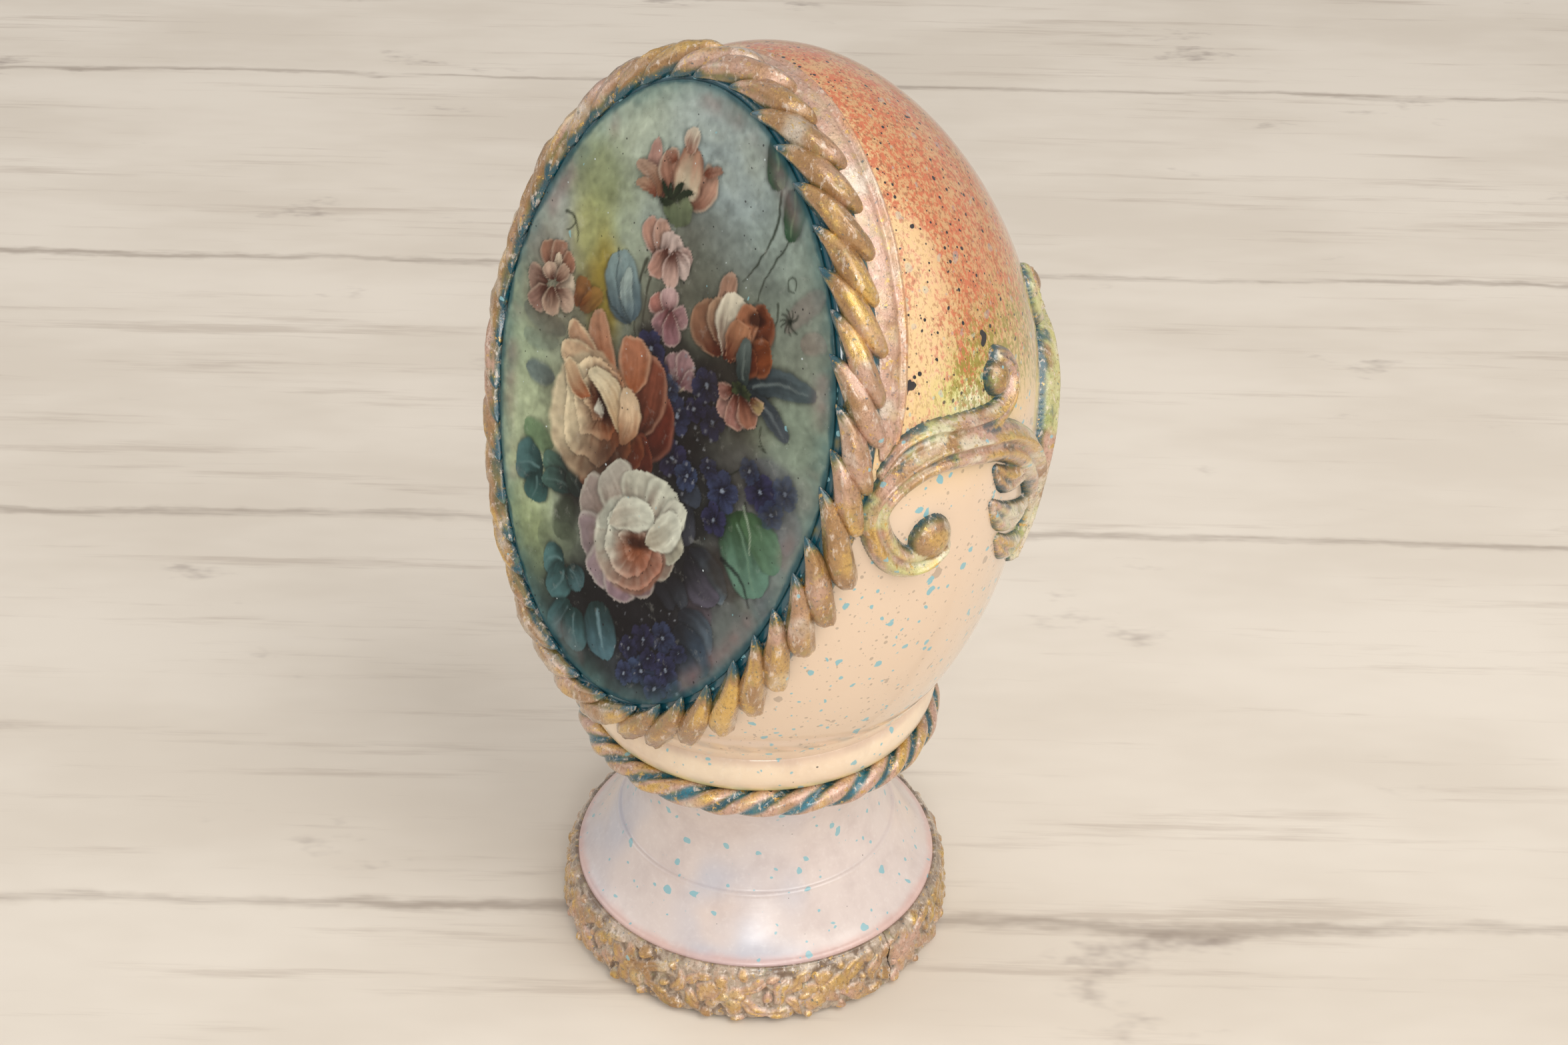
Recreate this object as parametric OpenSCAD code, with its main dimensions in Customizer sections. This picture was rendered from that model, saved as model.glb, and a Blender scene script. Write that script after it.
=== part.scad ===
// Decorated wooden egg on a turned stand.
// A turned egg with a flat oval cut on its front, a printed picture on the cut, moulded rope
// strips around it, scroll castings on the shell, and a collar and pedestal underneath.
// Millimetres. +Z is up along the turning axis, the front faces -Y, and the origin is the
// centre of the face that the foot rests on.

/* [Egg] */
// Widest radius of the egg
egg_r = 40; // [36:0.5:42]
// Height of the egg's upper end above its widest circle
egg_upper = 52.6; // [48:0.2:56]
// Depth of the egg's lower end below its widest circle, before its seat is cut flat
egg_lower = 61.8; // [60:0.2:64]
// Height of the widest circle above the table
belly_z = 96.4; // [95:0.2:98]
// How much the upper end is drawn in, as a share of its radius
upper_taper = 0.1; // [0:0.01:0.15]
// How much the lower end is filled out, as a share of its radius
lower_fullness = 0.06; // [0:0.01:0.1]

/* [Front cut] */
// Distance from the turning axis at the widest circle to the flat oval, along its normal
cut_depth = 21.7; // [20:0.1:24]
// How far the flat oval leans back
cut_tilt = 15; // [12:0.5:17]
// Margin between the oval's edge and the printed picture
picture_margin = 0.6; // [0.4:0.1:1.2]
// Thickness of the printed picture with its varnish
picture_thickness = 0.4; // [0.2:0.1:0.6]

/* [Rope frame] */
// Half the width of the moulded rope
rope_r = 2.7; // [2.3:0.1:3]
// Half the width of the lower length, whose lobes fan out
lower_rope_half = 3.4; // [2.7:0.1:3.6]
// How far back from the oval's edge the rope's middle lies on the shell
rope_setback = 2.9; // [2.6:0.1:3.4]
// Width of the smooth band outside the rope
skirt_width = 3.8; // [3:0.1:4.2]
// Height of the smooth band above the shell
skirt_height = 1.3; // [0.8:0.1:1.6]

/* [Collar] */
// Height of the line where the egg enters the collar
collar_top = 50; // [49:0.5:51]
// Height of the dished floor that carries the egg
seat_z = 42; // [41.5:0.5:43]
// Height of the joint between the collar and the pedestal
collar_bottom = 39; // [38:0.5:40]
// Widest radius of the collar
collar_r = 28.2; // [28:0.1:29]
// Half the height of the rope trim around the collar
trim_r = 2.3; // [2:0.1:2.4]

/* [Pedestal] */
// Radius of the foot's wooden rim
foot_r = 29.4; // [28:0.2:31]
// Height of the foot's upper edge
foot_edge_z = 10.7; // [10:0.1:12]
// Radius of the small step between foot and stem
step_r = 22.8; // [22:0.1:24]
// Height of the small step
step_z = 18.5; // [17:0.5:20]
// Radius of the stem at its neck
neck_r = 19.4; // [18:0.2:20]
// Thickness of the relief band around the foot
band_thickness = 3.2; // [2.4:0.1:3.6]

/* [Dowel] */
// Radius of the dowel that holds egg, collar and pedestal together
dowel_r = 5; // [4:0.5:6]
// How far the dowel enters the egg
dowel_up = 16; // [12:1:20]
// How far the dowel enters the pedestal
dowel_down = 13; // [10:1:15]

/* [Hidden] */

wood = "#f3cfae";
picture_green = "#a9b79d";
bronze = "#b98f5e";
stand_lilac = "#e2d3d6";
scroll_pink = "#c79d83";

glue_gap = 0.05;
// The rope's middle stands this share of its radius above the shell.
rope_lift = 0.8;
// Depth of the recess that holds the collar's rope trim, and its radius.
recess_depth = 3.8;
recess_r = collar_r - recess_depth;
// A block larger than the egg, for cutting the flat.
block = 160;
seam = 0.3;
profile_steps = 44;

// The flat oval's own frame: middle, normal, and its upward direction; +X runs across it.
cut_normal = [0, -cos(cut_tilt), sin(cut_tilt)];
cut_up = [0, sin(cut_tilt), cos(cut_tilt)];
cut_middle = [0, 0, belly_z] + cut_normal * cut_depth;

// Strip limits on the oval, in degrees from +X towards its top.
right_strip = [1, 97];
left_strip = [98, 244];
lower_strip = [245, 360];
skirt_right = [12, 92];
skirt_left = [104, 168];
strip_step = 3;

// Routes of the scroll castings: [degrees around the egg from the front, height, half width].
// The volute starts at its ball end, runs under and around it and arches over to the leaves.
ball_end = [80, 94.6, 3.4];
volute_route = [
    [79, 92, 2.6], [76, 91.4, 2.4], [72, 93, 2.2], [69, 96.5, 2.1], [68, 100.5, 2.1], [71, 103.6, 2.3],
    [76, 105.6, 2.5], [82, 106.4, 2.6], [88, 106, 2.7], [94, 105, 2.8], [101, 103.4, 3], [108, 100, 3],
    [114, 95, 2.8], [118, 90, 2.6], [119, 84, 2.2], [117, 78, 1.6]
];
crest_route = [
    [70, 106, 1.2], [74, 108.6, 1.5], [80, 109.6, 1.7], [86, 109, 1.9], [93, 108.2, 1.9], [99, 107.8, 1.8],
    [104, 108.8, 1.7], [107, 111, 1.6], [106, 113.6, 1.6], [103, 115, 1.6]
];
crest_ball = [101, 112.6, 2.4];
leaf_routes = [
    [[99, 99.5, 0.8], [103, 96.6, 1.6], [109, 95.4, 1.4], [114, 94, 1]],
    [[98.5, 94, 0.8], [103, 90.4, 1.7], [109, 88.4, 1.5], [116, 87.4, 1]],
    [[103, 86.4, 0.8], [107, 83.4, 1.5], [112, 81.8, 1.3], [117, 81, 0.9]]
];
// The casting behind the first one is its mirror image about this bearing.
mirror_bearing = 122.5;
casting_height = 0.95;

// Share of the height above or below the widest circle, and the radius there.
function height_share(z) = (z - belly_z) / (z > belly_z ? egg_upper : egg_lower);
function fullness(u) = 1 - (u > 0 ? upper_taper : -lower_fullness) * u * u;
function egg_radius(z) = let (u = height_share(z)) egg_r * sqrt(max(0, 1 - u * u)) * fullness(u);

// The egg as a level set: zero on the shell, with its gradient pointing outwards.
function egg_level(p) = let (u = height_share(p.z), q = egg_r * fullness(u)) (p.x * p.x + p.y * p.y) / (q * q) + u * u - 1;
function egg_gradient(p) =
    let (u = height_share(p.z), f = fullness(u), q = egg_r * f,
         bend = 2 * (u > 0 ? upper_taper : -lower_fullness) * u,
         reach = (p.x * p.x + p.y * p.y) / (q * q),
         half = p.z > belly_z ? egg_upper : egg_lower)
    [2 * p.x / (q * q), 2 * p.y / (q * q), (2 * u + 2 * reach * bend / f) / half];
function unit(v) = v / norm(v);
function egg_normal(p) = unit(egg_gradient(p));
function seated(p, turns = 4) =
    turns == 0 ? p : let (g = egg_gradient(p)) seated(p - g * egg_level(p) / (g * g), turns - 1);
function on_egg(bearing, z) = let (r = egg_radius(z)) [r * sin(bearing), -r * cos(bearing), z];

// Distance from the oval's middle to its edge, found by halving.
function edge_reach(t, low = 0, high = 70, turns = 22) =
    turns == 0 ? low
    : let (mid = (low + high) / 2, p = cut_middle + mid * ([cos(t), 0, 0] + sin(t) * cut_up))
      egg_level(p) < 0 ? edge_reach(t, mid, high, turns - 1) : edge_reach(t, low, mid, turns - 1);
function edge_point(t) = cut_middle + edge_reach(t) * ([cos(t), 0, 0] + sin(t) * cut_up);
function edge_tangent(t) = unit(edge_point(t + 0.5) - edge_point(t - 0.5));
// A point on the shell, this far back from the oval's edge.
function beside_edge(t, back) =
    let (p = edge_point(t), across = unit(cross(edge_tangent(t), egg_normal(p))),
         away = across * cut_normal < 0 ? across : -across)
    seated(p + away * back);

// Section of a strip that lies on the shell: an arch over a flat back.
// The first value of each point runs across the strip, the second stands up from the shell.
function rope_section(half) =
    [for (a = [-40:32.5:220]) [half * cos(a), rope_r * (rope_lift + sin(a))]];
function arch_section(r, height, sink = 0.2) =
    [[r, -sink], each [for (a = [0:30:180]) [r * cos(a), height * sin(a)]], [-r, -sink]];

// Rings of points along a route of shell points, one section at each.
function strip_rings(spots, sections) =
    let (last = len(spots) - 1)
    [for (i = [0:last])
        let (ahead = spots[min(last, i + 1)] - spots[max(0, i - 1)], up = egg_normal(spots[i]),
             across = unit(cross(ahead, up)))
        [for (s = sections[i]) spots[i] + across * s.x + up * s.y]];

module strip(spots, sections) {
    rings = strip_rings(spots, sections);
    sides = len(rings[0]);
    last = len(rings) - 1;
    polyhedron(
        points = [for (ring = rings) each ring],
        faces = [
            [for (j = [0:sides - 1]) sides - 1 - j],
            [for (j = [0:sides - 1]) last * sides + j],
            for (i = [0:last - 1], j = [0:sides - 1])
                let (k = (j + 1) % sides, a = i * sides)
                each [[a + j, a + k, a + sides + j], [a + k, a + sides + k, a + sides + j]]
        ]
    );
}

module egg_solid() {
    rotate_extrude($fn = 96)
        polygon([
            for (i = [0:profile_steps])
                let (a = -90 + 180 * i / profile_steps, z = belly_z + (a > 0 ? egg_upper : egg_lower) * sin(a))
                [i == 0 || i == profile_steps ? 0 : egg_radius(z), z]
        ]);
}

module on_cut() {
    translate(cut_middle) rotate([90 - cut_tilt, 0, 0]) children();
}

module socket(bottom, top) {
    translate([0, 0, bottom]) cylinder(r = dowel_r + glue_gap, h = top - bottom, $fn = 48);
}

module egg_body() {
    color(wood)
    difference() {
        egg_solid();
        on_cut() translate([-block / 2, -block / 2, 0]) cube([block, block, block / 2]);
        cylinder(r = egg_r, h = seat_z, $fn = 48);
        socket(seat_z - 1, seat_z + dowel_up + 1);
    }
}

// The collar's dish is the egg's own shape, so the egg sits on its floor and in its wall.
module collar_cup() {
    rim_r = egg_radius(collar_top);
    recess_top = collar_bottom + 2 * trim_r;
    bulge_rise = collar_top - recess_top;
    color(wood)
    difference() {
        rotate_extrude($fn = 96)
            polygon([
                [0, collar_bottom], [recess_r, collar_bottom], [recess_r, recess_top],
                for (i = [0:8])
                    let (s = i / 8)
                    [rim_r - (1 - s) * 0.6 + (collar_r - rim_r) * sin(180 * s), recess_top + bulge_rise * s],
                for (i = [0:8])
                    let (z = collar_top - (collar_top - seat_z) * i / 8)
                    [egg_radius(z), z],
                [0, seat_z]
            ]);
        socket(collar_bottom - 1, seat_z + 1);
    }
}

// A bell-shaped foot: rim, sloping shoulder, small step, then a cove up to the collar.
module pedestal() {
    top_r = collar_r - 4.2;
    cove_steps = 14;
    color(stand_lilac)
    difference() {
        rotate_extrude($fn = 96)
            polygon([
                [0, 0], [foot_r, 0], [foot_r, foot_edge_z - 0.6], [foot_r - 0.5, foot_edge_z],
                for (i = [1:8])
                    let (s = i / 8)
                    [foot_r - 0.5 + (step_r - foot_r + 0.5) * s, foot_edge_z + (step_z - foot_edge_z) * pow(s, 1.35)],
                for (i = [0:cove_steps])
                    let (s = i / cove_steps, r0 = step_r - 0.7)
                    [r0 + (top_r - r0) * s - (r0 / 2 + top_r / 2 - neck_r) * sin(180 * s),
                     step_z + 0.5 + (collar_bottom - step_z - 0.5) * s],
                [0, collar_bottom]
            ]);
        socket(collar_bottom - dowel_down - 1, collar_bottom + 1);
    }
}

module seat_dowel() {
    color("burlywood")
    translate([0, 0, collar_bottom - dowel_down])
        cylinder(r = dowel_r, h = seat_z - collar_bottom + dowel_up + dowel_down, $fn = 48);
}

module medallion_print() {
    color(picture_green)
    on_cut()
        linear_extrude(picture_thickness)
            polygon([for (t = [0:5:355]) (edge_reach(t) - picture_margin) * [cos(t), sin(t)]]);
}

module rope_strip(limits, half = rope_r) {
    bearings = [for (t = [limits[0]:strip_step:limits[1]]) t];
    color(bronze)
    strip([for (t = bearings) beside_edge(t, rope_setback)], [for (t = bearings) rope_section(half)]);
}

// The smooth band tapers to nothing at both ends.
module skirt_strip(limits) {
    bearings = [for (t = [limits[0]:strip_step:limits[1]]) t];
    function taper(t) = let (s = (t - limits[0]) / (limits[1] - limits[0])) 0.35 + 0.65 * sqrt(sin(180 * min(0.999, max(0.001, s))));
    color(scroll_pink)
    strip(
        [for (t = bearings) beside_edge(t, rope_setback + rope_r + seam + skirt_width / 2)],
        [for (t = bearings) arch_section(skirt_width / 2 * taper(t), skirt_height * taper(t))]
    );
}

module frame_rope_left() { rope_strip(left_strip); }
module frame_rope_right() { rope_strip(right_strip); }
module frame_rope_lower() { rope_strip(lower_strip, lower_rope_half); }
module frame_skirt_left() { skirt_strip(skirt_left); }
module frame_skirt_right() { skirt_strip(skirt_right); }

// Rope trim in the recess between the collar and the pedestal.
module collar_rope() {
    color(bronze)
    rotate_extrude($fn = 96)
        intersection() {
            translate([recess_r + 1.6, collar_bottom + trim_r]) circle(r = trim_r, $fn = 32);
            translate([recess_r, collar_bottom - 5]) square([10, 20]);
        }
}

// Half of the relief band around the foot, from one bearing through half a turn.
module foot_band(from) {
    band_top = foot_edge_z - 0.8;
    color(bronze)
    rotate([0, 0, from])
        rotate_extrude(angle = 179.6, $fn = 96)
            polygon([
                [foot_r, 0.2], [foot_r + band_thickness * 0.8, 0.2], [foot_r + band_thickness, 1.6],
                [foot_r + band_thickness * 0.9, 5], [foot_r + band_thickness * 0.6, 8],
                [foot_r + band_thickness * 0.3, band_top], [foot_r, band_top]
            ]);
}

module foot_band_front() { foot_band(180); }
module foot_band_back() { foot_band(0); }

module route_strip(route, sink) {
    strip(
        [for (p = route) on_egg(p[0], p[1])],
        [for (p = route) arch_section(p[2], p[2] * casting_height, sink)]
    );
}

module ball(place) {
    spot = on_egg(place[0], place[1]);
    translate(spot + egg_normal(spot) * place[2] * 0.25) sphere(r = place[2], $fn = 24);
}

// One scroll casting: the volute with its ball end, the crest with its small ball, three leaves.
module casting() {
    color(scroll_pink)
    union() {
        route_strip(volute_route, 0.2);
        route_strip(crest_route, 0.32);
        for (leaf = leaf_routes) route_strip(leaf, 0.26);
        ball(ball_end);
        ball(crest_ball);
    }
}

// The mirror image of a casting about a plane through the turning axis at this bearing.
module mirrored_about(bearing) {
    mirror([cos(bearing), sin(bearing), 0]) children();
}

module scroll_right_front() { casting(); }
module scroll_right_back() { mirrored_about(mirror_bearing) casting(); }
module scroll_left_front() { mirrored_about(0) casting(); }
module scroll_left_back() { mirrored_about(0) mirrored_about(mirror_bearing) casting(); }

egg_body();
collar_cup();
pedestal();
seat_dowel();
medallion_print();
frame_rope_left();
frame_rope_right();
frame_rope_lower();
frame_skirt_left();
frame_skirt_right();
collar_rope();
foot_band_front();
foot_band_back();
scroll_right_front();
scroll_right_back();
scroll_left_back();
scroll_left_front();
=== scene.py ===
"""Decorated wooden egg on a turned stand: the looks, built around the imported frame.

Sizes are millimetres on the part's own axes (+Z up, the picture faces -Y) until a mesh is made.
"""
import math

import bpy
import numpy as np
from mathutils import Matrix


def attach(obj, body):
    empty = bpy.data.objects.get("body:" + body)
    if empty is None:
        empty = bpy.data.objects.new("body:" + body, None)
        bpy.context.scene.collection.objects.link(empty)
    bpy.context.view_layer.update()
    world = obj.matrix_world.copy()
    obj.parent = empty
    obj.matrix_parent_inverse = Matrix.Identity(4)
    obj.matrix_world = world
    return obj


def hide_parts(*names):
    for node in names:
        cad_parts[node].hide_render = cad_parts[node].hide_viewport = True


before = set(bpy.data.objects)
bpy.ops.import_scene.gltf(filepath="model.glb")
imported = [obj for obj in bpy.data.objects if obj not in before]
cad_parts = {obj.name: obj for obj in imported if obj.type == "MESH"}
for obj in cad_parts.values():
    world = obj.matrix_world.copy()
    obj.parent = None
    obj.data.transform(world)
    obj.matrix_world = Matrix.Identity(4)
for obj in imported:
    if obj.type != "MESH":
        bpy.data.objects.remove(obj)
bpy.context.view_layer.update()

MM = 0.001
BODY = "root"

# The egg: radius at its widest circle, height of that circle, reach above and below it.
EGG_R = 40.0
BELLY_Z = 96.4
EGG_UPPER = 52.6
EGG_LOWER = 61.8
UPPER_TAPER = 0.10
LOWER_FULLNESS = 0.06
EGG_GRID = (214, 440)

# The flat oval cut: distance from the axis and lean, and the picture glued on it.
CUT_DEPTH = 21.7
CUT_TILT = math.radians(15)
CUT_NORMAL = np.array([0, -math.cos(CUT_TILT), math.sin(CUT_TILT)])
CUT_UP = np.array([0, math.sin(CUT_TILT), math.cos(CUT_TILT)])
CUT_MIDDLE = np.array([0, 0, BELLY_Z]) + CUT_NORMAL * CUT_DEPTH
PICTURE_MARGIN = 0.6
PICTURE_THICKNESS = 0.4
PICTURE_GRID = (292, 322)
PRINT_GAIN = 1.20
PRINT_CONTRAST = 1.16
PRINT_TINT = np.array([0.98, 1.0, 1.04])

# Rope frame: how far back from the oval's edge it lies, and the low strip under its lobes.
ROPE_SETBACK = 2.9
ROPE_CORE_HALF = 2.5
ROPE_CORE_RISE = 1.15

# Collar, rope trim and foot.
COLLAR_TOP = 50.0
COLLAR_BOTTOM = 39.0
COLLAR_R = 28.2
TRIM_R = 2.3
TRIM_RECESS = 3.8
TRIM_TWISTS = 9
TRIM_GRID = (768, 36)
FOOT_R = 29.4
FOOT_EDGE_Z = 10.7
STEP_R = 22.8
STEP_Z = 18.5
NECK_R = 19.4
COVE_TOP_R = COLLAR_R - 4.2
BAND_THICKNESS = 3.2
BAND_RUN_R = FOOT_R + 1.6
BAND_BOTTOM_Z = 0.25
BAND_RELIEF = 1.25
BAND_TURN = 179.6
BAND_GRID = (620, 50)
DISH_Z = COLLAR_BOTTOM + 3.0


# ---------------------------------------------------------------- small tools

def tone(red, green, blue):
    """A paint colour on a 0 to 255 scale, as linear light."""
    return (np.array([red, green, blue]) / 255.0) ** 2.2


def smooth(low, high, value):
    """0 below low, 1 above high, an S curve between."""
    t = np.clip((value - low) / (high - low), 0, 1)
    return t * t * (3 - 2 * t)


def mix(a, b, share):
    """a where share is 0, b where it is 1, for colours along the last axis."""
    share = np.asarray(share)[..., None]
    return a * (1 - share) + b * share


def unit(v):
    return v / np.maximum(np.linalg.norm(v, axis=-1, keepdims=True), 1e-9)


def field(points, size, seed):
    """Smooth random field from -1 to 1: a random value at each corner of a cubic grid with
    cells of this size, joined inside the cell by S curves along the three axes."""
    place = np.asarray(points, float) / size
    cell = np.floor(place).astype(np.int64)
    part = place - cell
    part = part * part * (3 - 2 * part)
    total = 0.0
    for corner in range(8):
        step = np.array([corner & 1, corner >> 1 & 1, corner >> 2 & 1])
        c = cell + step
        key = (c[..., 0] * 73856093) ^ (c[..., 1] * 19349663) ^ (c[..., 2] * 83492791) ^ (seed * 1013904223)
        key = (key ^ (key >> 13)) * 1274126177 & 0x7FFFFFFF
        key = (key ^ (key >> 11)) * 668265263 & 0x7FFFFFFF
        value = (key & 0xFFFF) / 32767.5 - 1
        weight = np.where(step == 1, part, 1 - part).prod(-1)
        total = total + value * weight
    return total


def cloud(points, size, seed, layers=3):
    """Sum of random fields, each half the size and strength of the one before."""
    return sum(field(points, size / 2 ** k, seed + k) / 2 ** k for k in range(layers)) / 1.5


# ---------------------------------------------------------------- the egg's shape

def height_share(z):
    return (z - BELLY_Z) / np.where(z > BELLY_Z, EGG_UPPER, EGG_LOWER)


def fullness(u):
    return 1 - np.where(u > 0, UPPER_TAPER, -LOWER_FULLNESS) * u * u


def egg_radius(z):
    """Half an ellipse above and one below the widest circle, the upper one drawn in a little."""
    u = height_share(z)
    return EGG_R * np.sqrt(np.clip(1 - u * u, 0, 1)) * fullness(u)


def egg_level(p):
    """(radius / egg radius)^2 + (height share)^2 - 1: zero on the shell."""
    u = height_share(p[..., 2])
    q = EGG_R * fullness(u)
    return (p[..., 0] ** 2 + p[..., 1] ** 2) / q ** 2 + u * u - 1


def egg_gradient(p):
    u = height_share(p[..., 2])
    f = fullness(u)
    q = EGG_R * f
    bend = 2 * np.where(u > 0, UPPER_TAPER, -LOWER_FULLNESS) * u
    reach = (p[..., 0] ** 2 + p[..., 1] ** 2) / q ** 2
    half = np.where(u > 0, EGG_UPPER, EGG_LOWER)
    rise = (2 * u + 2 * reach * bend / f) / half
    return np.stack([2 * p[..., 0] / q ** 2, 2 * p[..., 1] / q ** 2, rise], -1)


def seated(p):
    """Moves points onto the shell by four Newton steps along the gradient."""
    for _ in range(4):
        g = egg_gradient(p)
        p = p - g * (egg_level(p) / (g * g).sum(-1))[..., None]
    return p


def on_egg(bearing, z):
    """Point of the shell at a bearing in degrees from the front, and a height."""
    r = egg_radius(z)
    a = np.radians(bearing)
    return np.stack([r * np.sin(a), -r * np.cos(a), z + 0 * a], -1)


def oval_way(t):
    return np.cos(t)[..., None] * np.array([1.0, 0, 0]) + np.sin(t)[..., None] * CUT_UP


def oval_reach(t):
    """Distance from the oval's middle to its edge in direction t, found by halving."""
    low, high = np.zeros_like(t), np.full_like(t, 70.0)
    for _ in range(30):
        mid = (low + high) / 2
        inside = egg_level(CUT_MIDDLE + oval_way(t) * mid[..., None]) < 0
        low, high = np.where(inside, mid, low), np.where(inside, high, mid)
    return low


def beside_oval(t, back):
    """Shell point this far back from the oval's edge."""
    edge = CUT_MIDDLE + oval_way(t) * oval_reach(t)[..., None]
    ahead = CUT_MIDDLE + oval_way(t + 0.01) * oval_reach(t + 0.01)[..., None] - edge
    across = unit(np.cross(ahead, egg_gradient(edge)))
    across *= np.where(across @ CUT_NORMAL < 0, 1, -1)[..., None]
    return seated(edge + across * back)


def along_oval(start, stop, step, back):
    """Evenly spaced shell points beside the oval from one direction to another, in degrees,
    with their forward, outward and upward directions."""
    t = np.radians(np.linspace(start, stop, 400))
    p = beside_oval(t, back)
    run = np.concatenate([[0], np.cumsum(np.linalg.norm(np.diff(p, axis=0), axis=1))])
    s = np.linspace(0, run[-1], max(3, int(run[-1] / step) + 1))
    t = np.interp(s, run, t)
    p = beside_oval(t, back)
    up = unit(egg_gradient(p))
    ahead = unit(np.gradient(p, axis=0))
    out = np.cross(ahead, up)
    out *= np.where(out @ CUT_NORMAL < 0, 1, -1)[:, None]
    return p, ahead, unit(out), up, s


# ---------------------------------------------------------------- meshes

def colour_attribute(mesh, name, values):
    rgba = np.concatenate([np.clip(values, 0, 1), np.ones((len(values), 1))], 1)
    mesh.attributes.new(name, "FLOAT_COLOR", "POINT").data.foreach_set("color", rgba.ravel())


def make_mesh(name, points, faces, paint, metal=None):
    """A smooth-shaded mesh from millimetre points and a list of face arrays (one array per face
    size), with its paint colour and metal share as point attributes."""
    mesh = bpy.data.meshes.new(name)
    faces = [np.asarray(f, np.int32) for f in faces if len(f)]
    loops = np.concatenate([f.ravel() for f in faces])
    sizes = np.concatenate([np.full(len(f), f.shape[1], np.int32) for f in faces])
    mesh.vertices.add(len(points))
    mesh.vertices.foreach_set("co", (np.asarray(points, float) * MM).ravel())
    mesh.loops.add(len(loops))
    mesh.loops.foreach_set("vertex_index", loops)
    mesh.polygons.add(len(sizes))
    mesh.polygons.foreach_set("loop_start", np.concatenate([[0], np.cumsum(sizes)[:-1]]).astype(np.int32))
    mesh.update(calc_edges=True)
    mesh.polygons.foreach_set("use_smooth", np.ones(len(sizes), bool))
    colour_attribute(mesh, "paint", paint)
    if metal is not None:
        mesh.attributes.new("metal", "FLOAT", "POINT").data.foreach_set("value", np.clip(metal, 0, 1))
    mesh.validate()
    obj = bpy.data.objects.new(name, mesh)
    bpy.context.scene.collection.objects.link(obj)
    return obj


def grid_faces(rows, columns, wrap_rows=False, wrap_columns=False):
    """Quads of a grid whose point (i, j) has index i * columns + j."""
    i = np.arange(rows if wrap_rows else rows - 1)
    j = np.arange(columns if wrap_columns else columns - 1)
    i, j = (g.ravel() for g in np.meshgrid(i, j, indexing="ij"))
    k, l = (i + 1) % rows, (j + 1) % columns
    return np.stack([i * columns + j, k * columns + j, k * columns + l, i * columns + l], 1)


def tube_faces(rings, around):
    """Quads of a tube of rings plus the fans that close it onto a point at each end. The two
    end points come after the rings."""
    j = np.arange(around)
    l = (j + 1) % around
    last = (rings - 1) * around
    tip, end = rings * around, rings * around + 1
    fans = np.concatenate([np.stack([np.full(around, tip), j, l], 1),
                           np.stack([np.full(around, end), last + l, last + j], 1)])
    return grid_faces(rings, around, wrap_columns=True), fans


def lathe(name, profile, turns, paint):
    """A profile of (radius, height) pairs turned round Z. It starts and ends on the axis, and
    runs from the bottom up, so the faces point outwards."""
    profile = np.asarray(profile, float)
    a = np.linspace(0, 2 * np.pi, turns, endpoint=False)
    body = profile[1:-1]
    ring = np.stack([body[:, :1] * np.sin(a), -body[:, :1] * np.cos(a), body[:, 1:] + 0 * a], -1)
    ends = np.array([[0, 0, profile[0, 1]], [0, 0, profile[-1, 1]]])
    points = np.concatenate([ring.reshape(-1, 3), ends])
    quads, fans = tube_faces(len(body), turns)
    return make_mesh(name, points, [quads[:, ::-1], fans[:, ::-1]], paint(points))


def stand_in(piece, material, slot, *nodes):
    """Gives a piece its material and puts it in place of CAD nodes."""
    piece.data.materials.append(material)
    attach(piece, BODY)
    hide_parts(*nodes)


# ---------------------------------------------------------------- the floral picture

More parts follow.
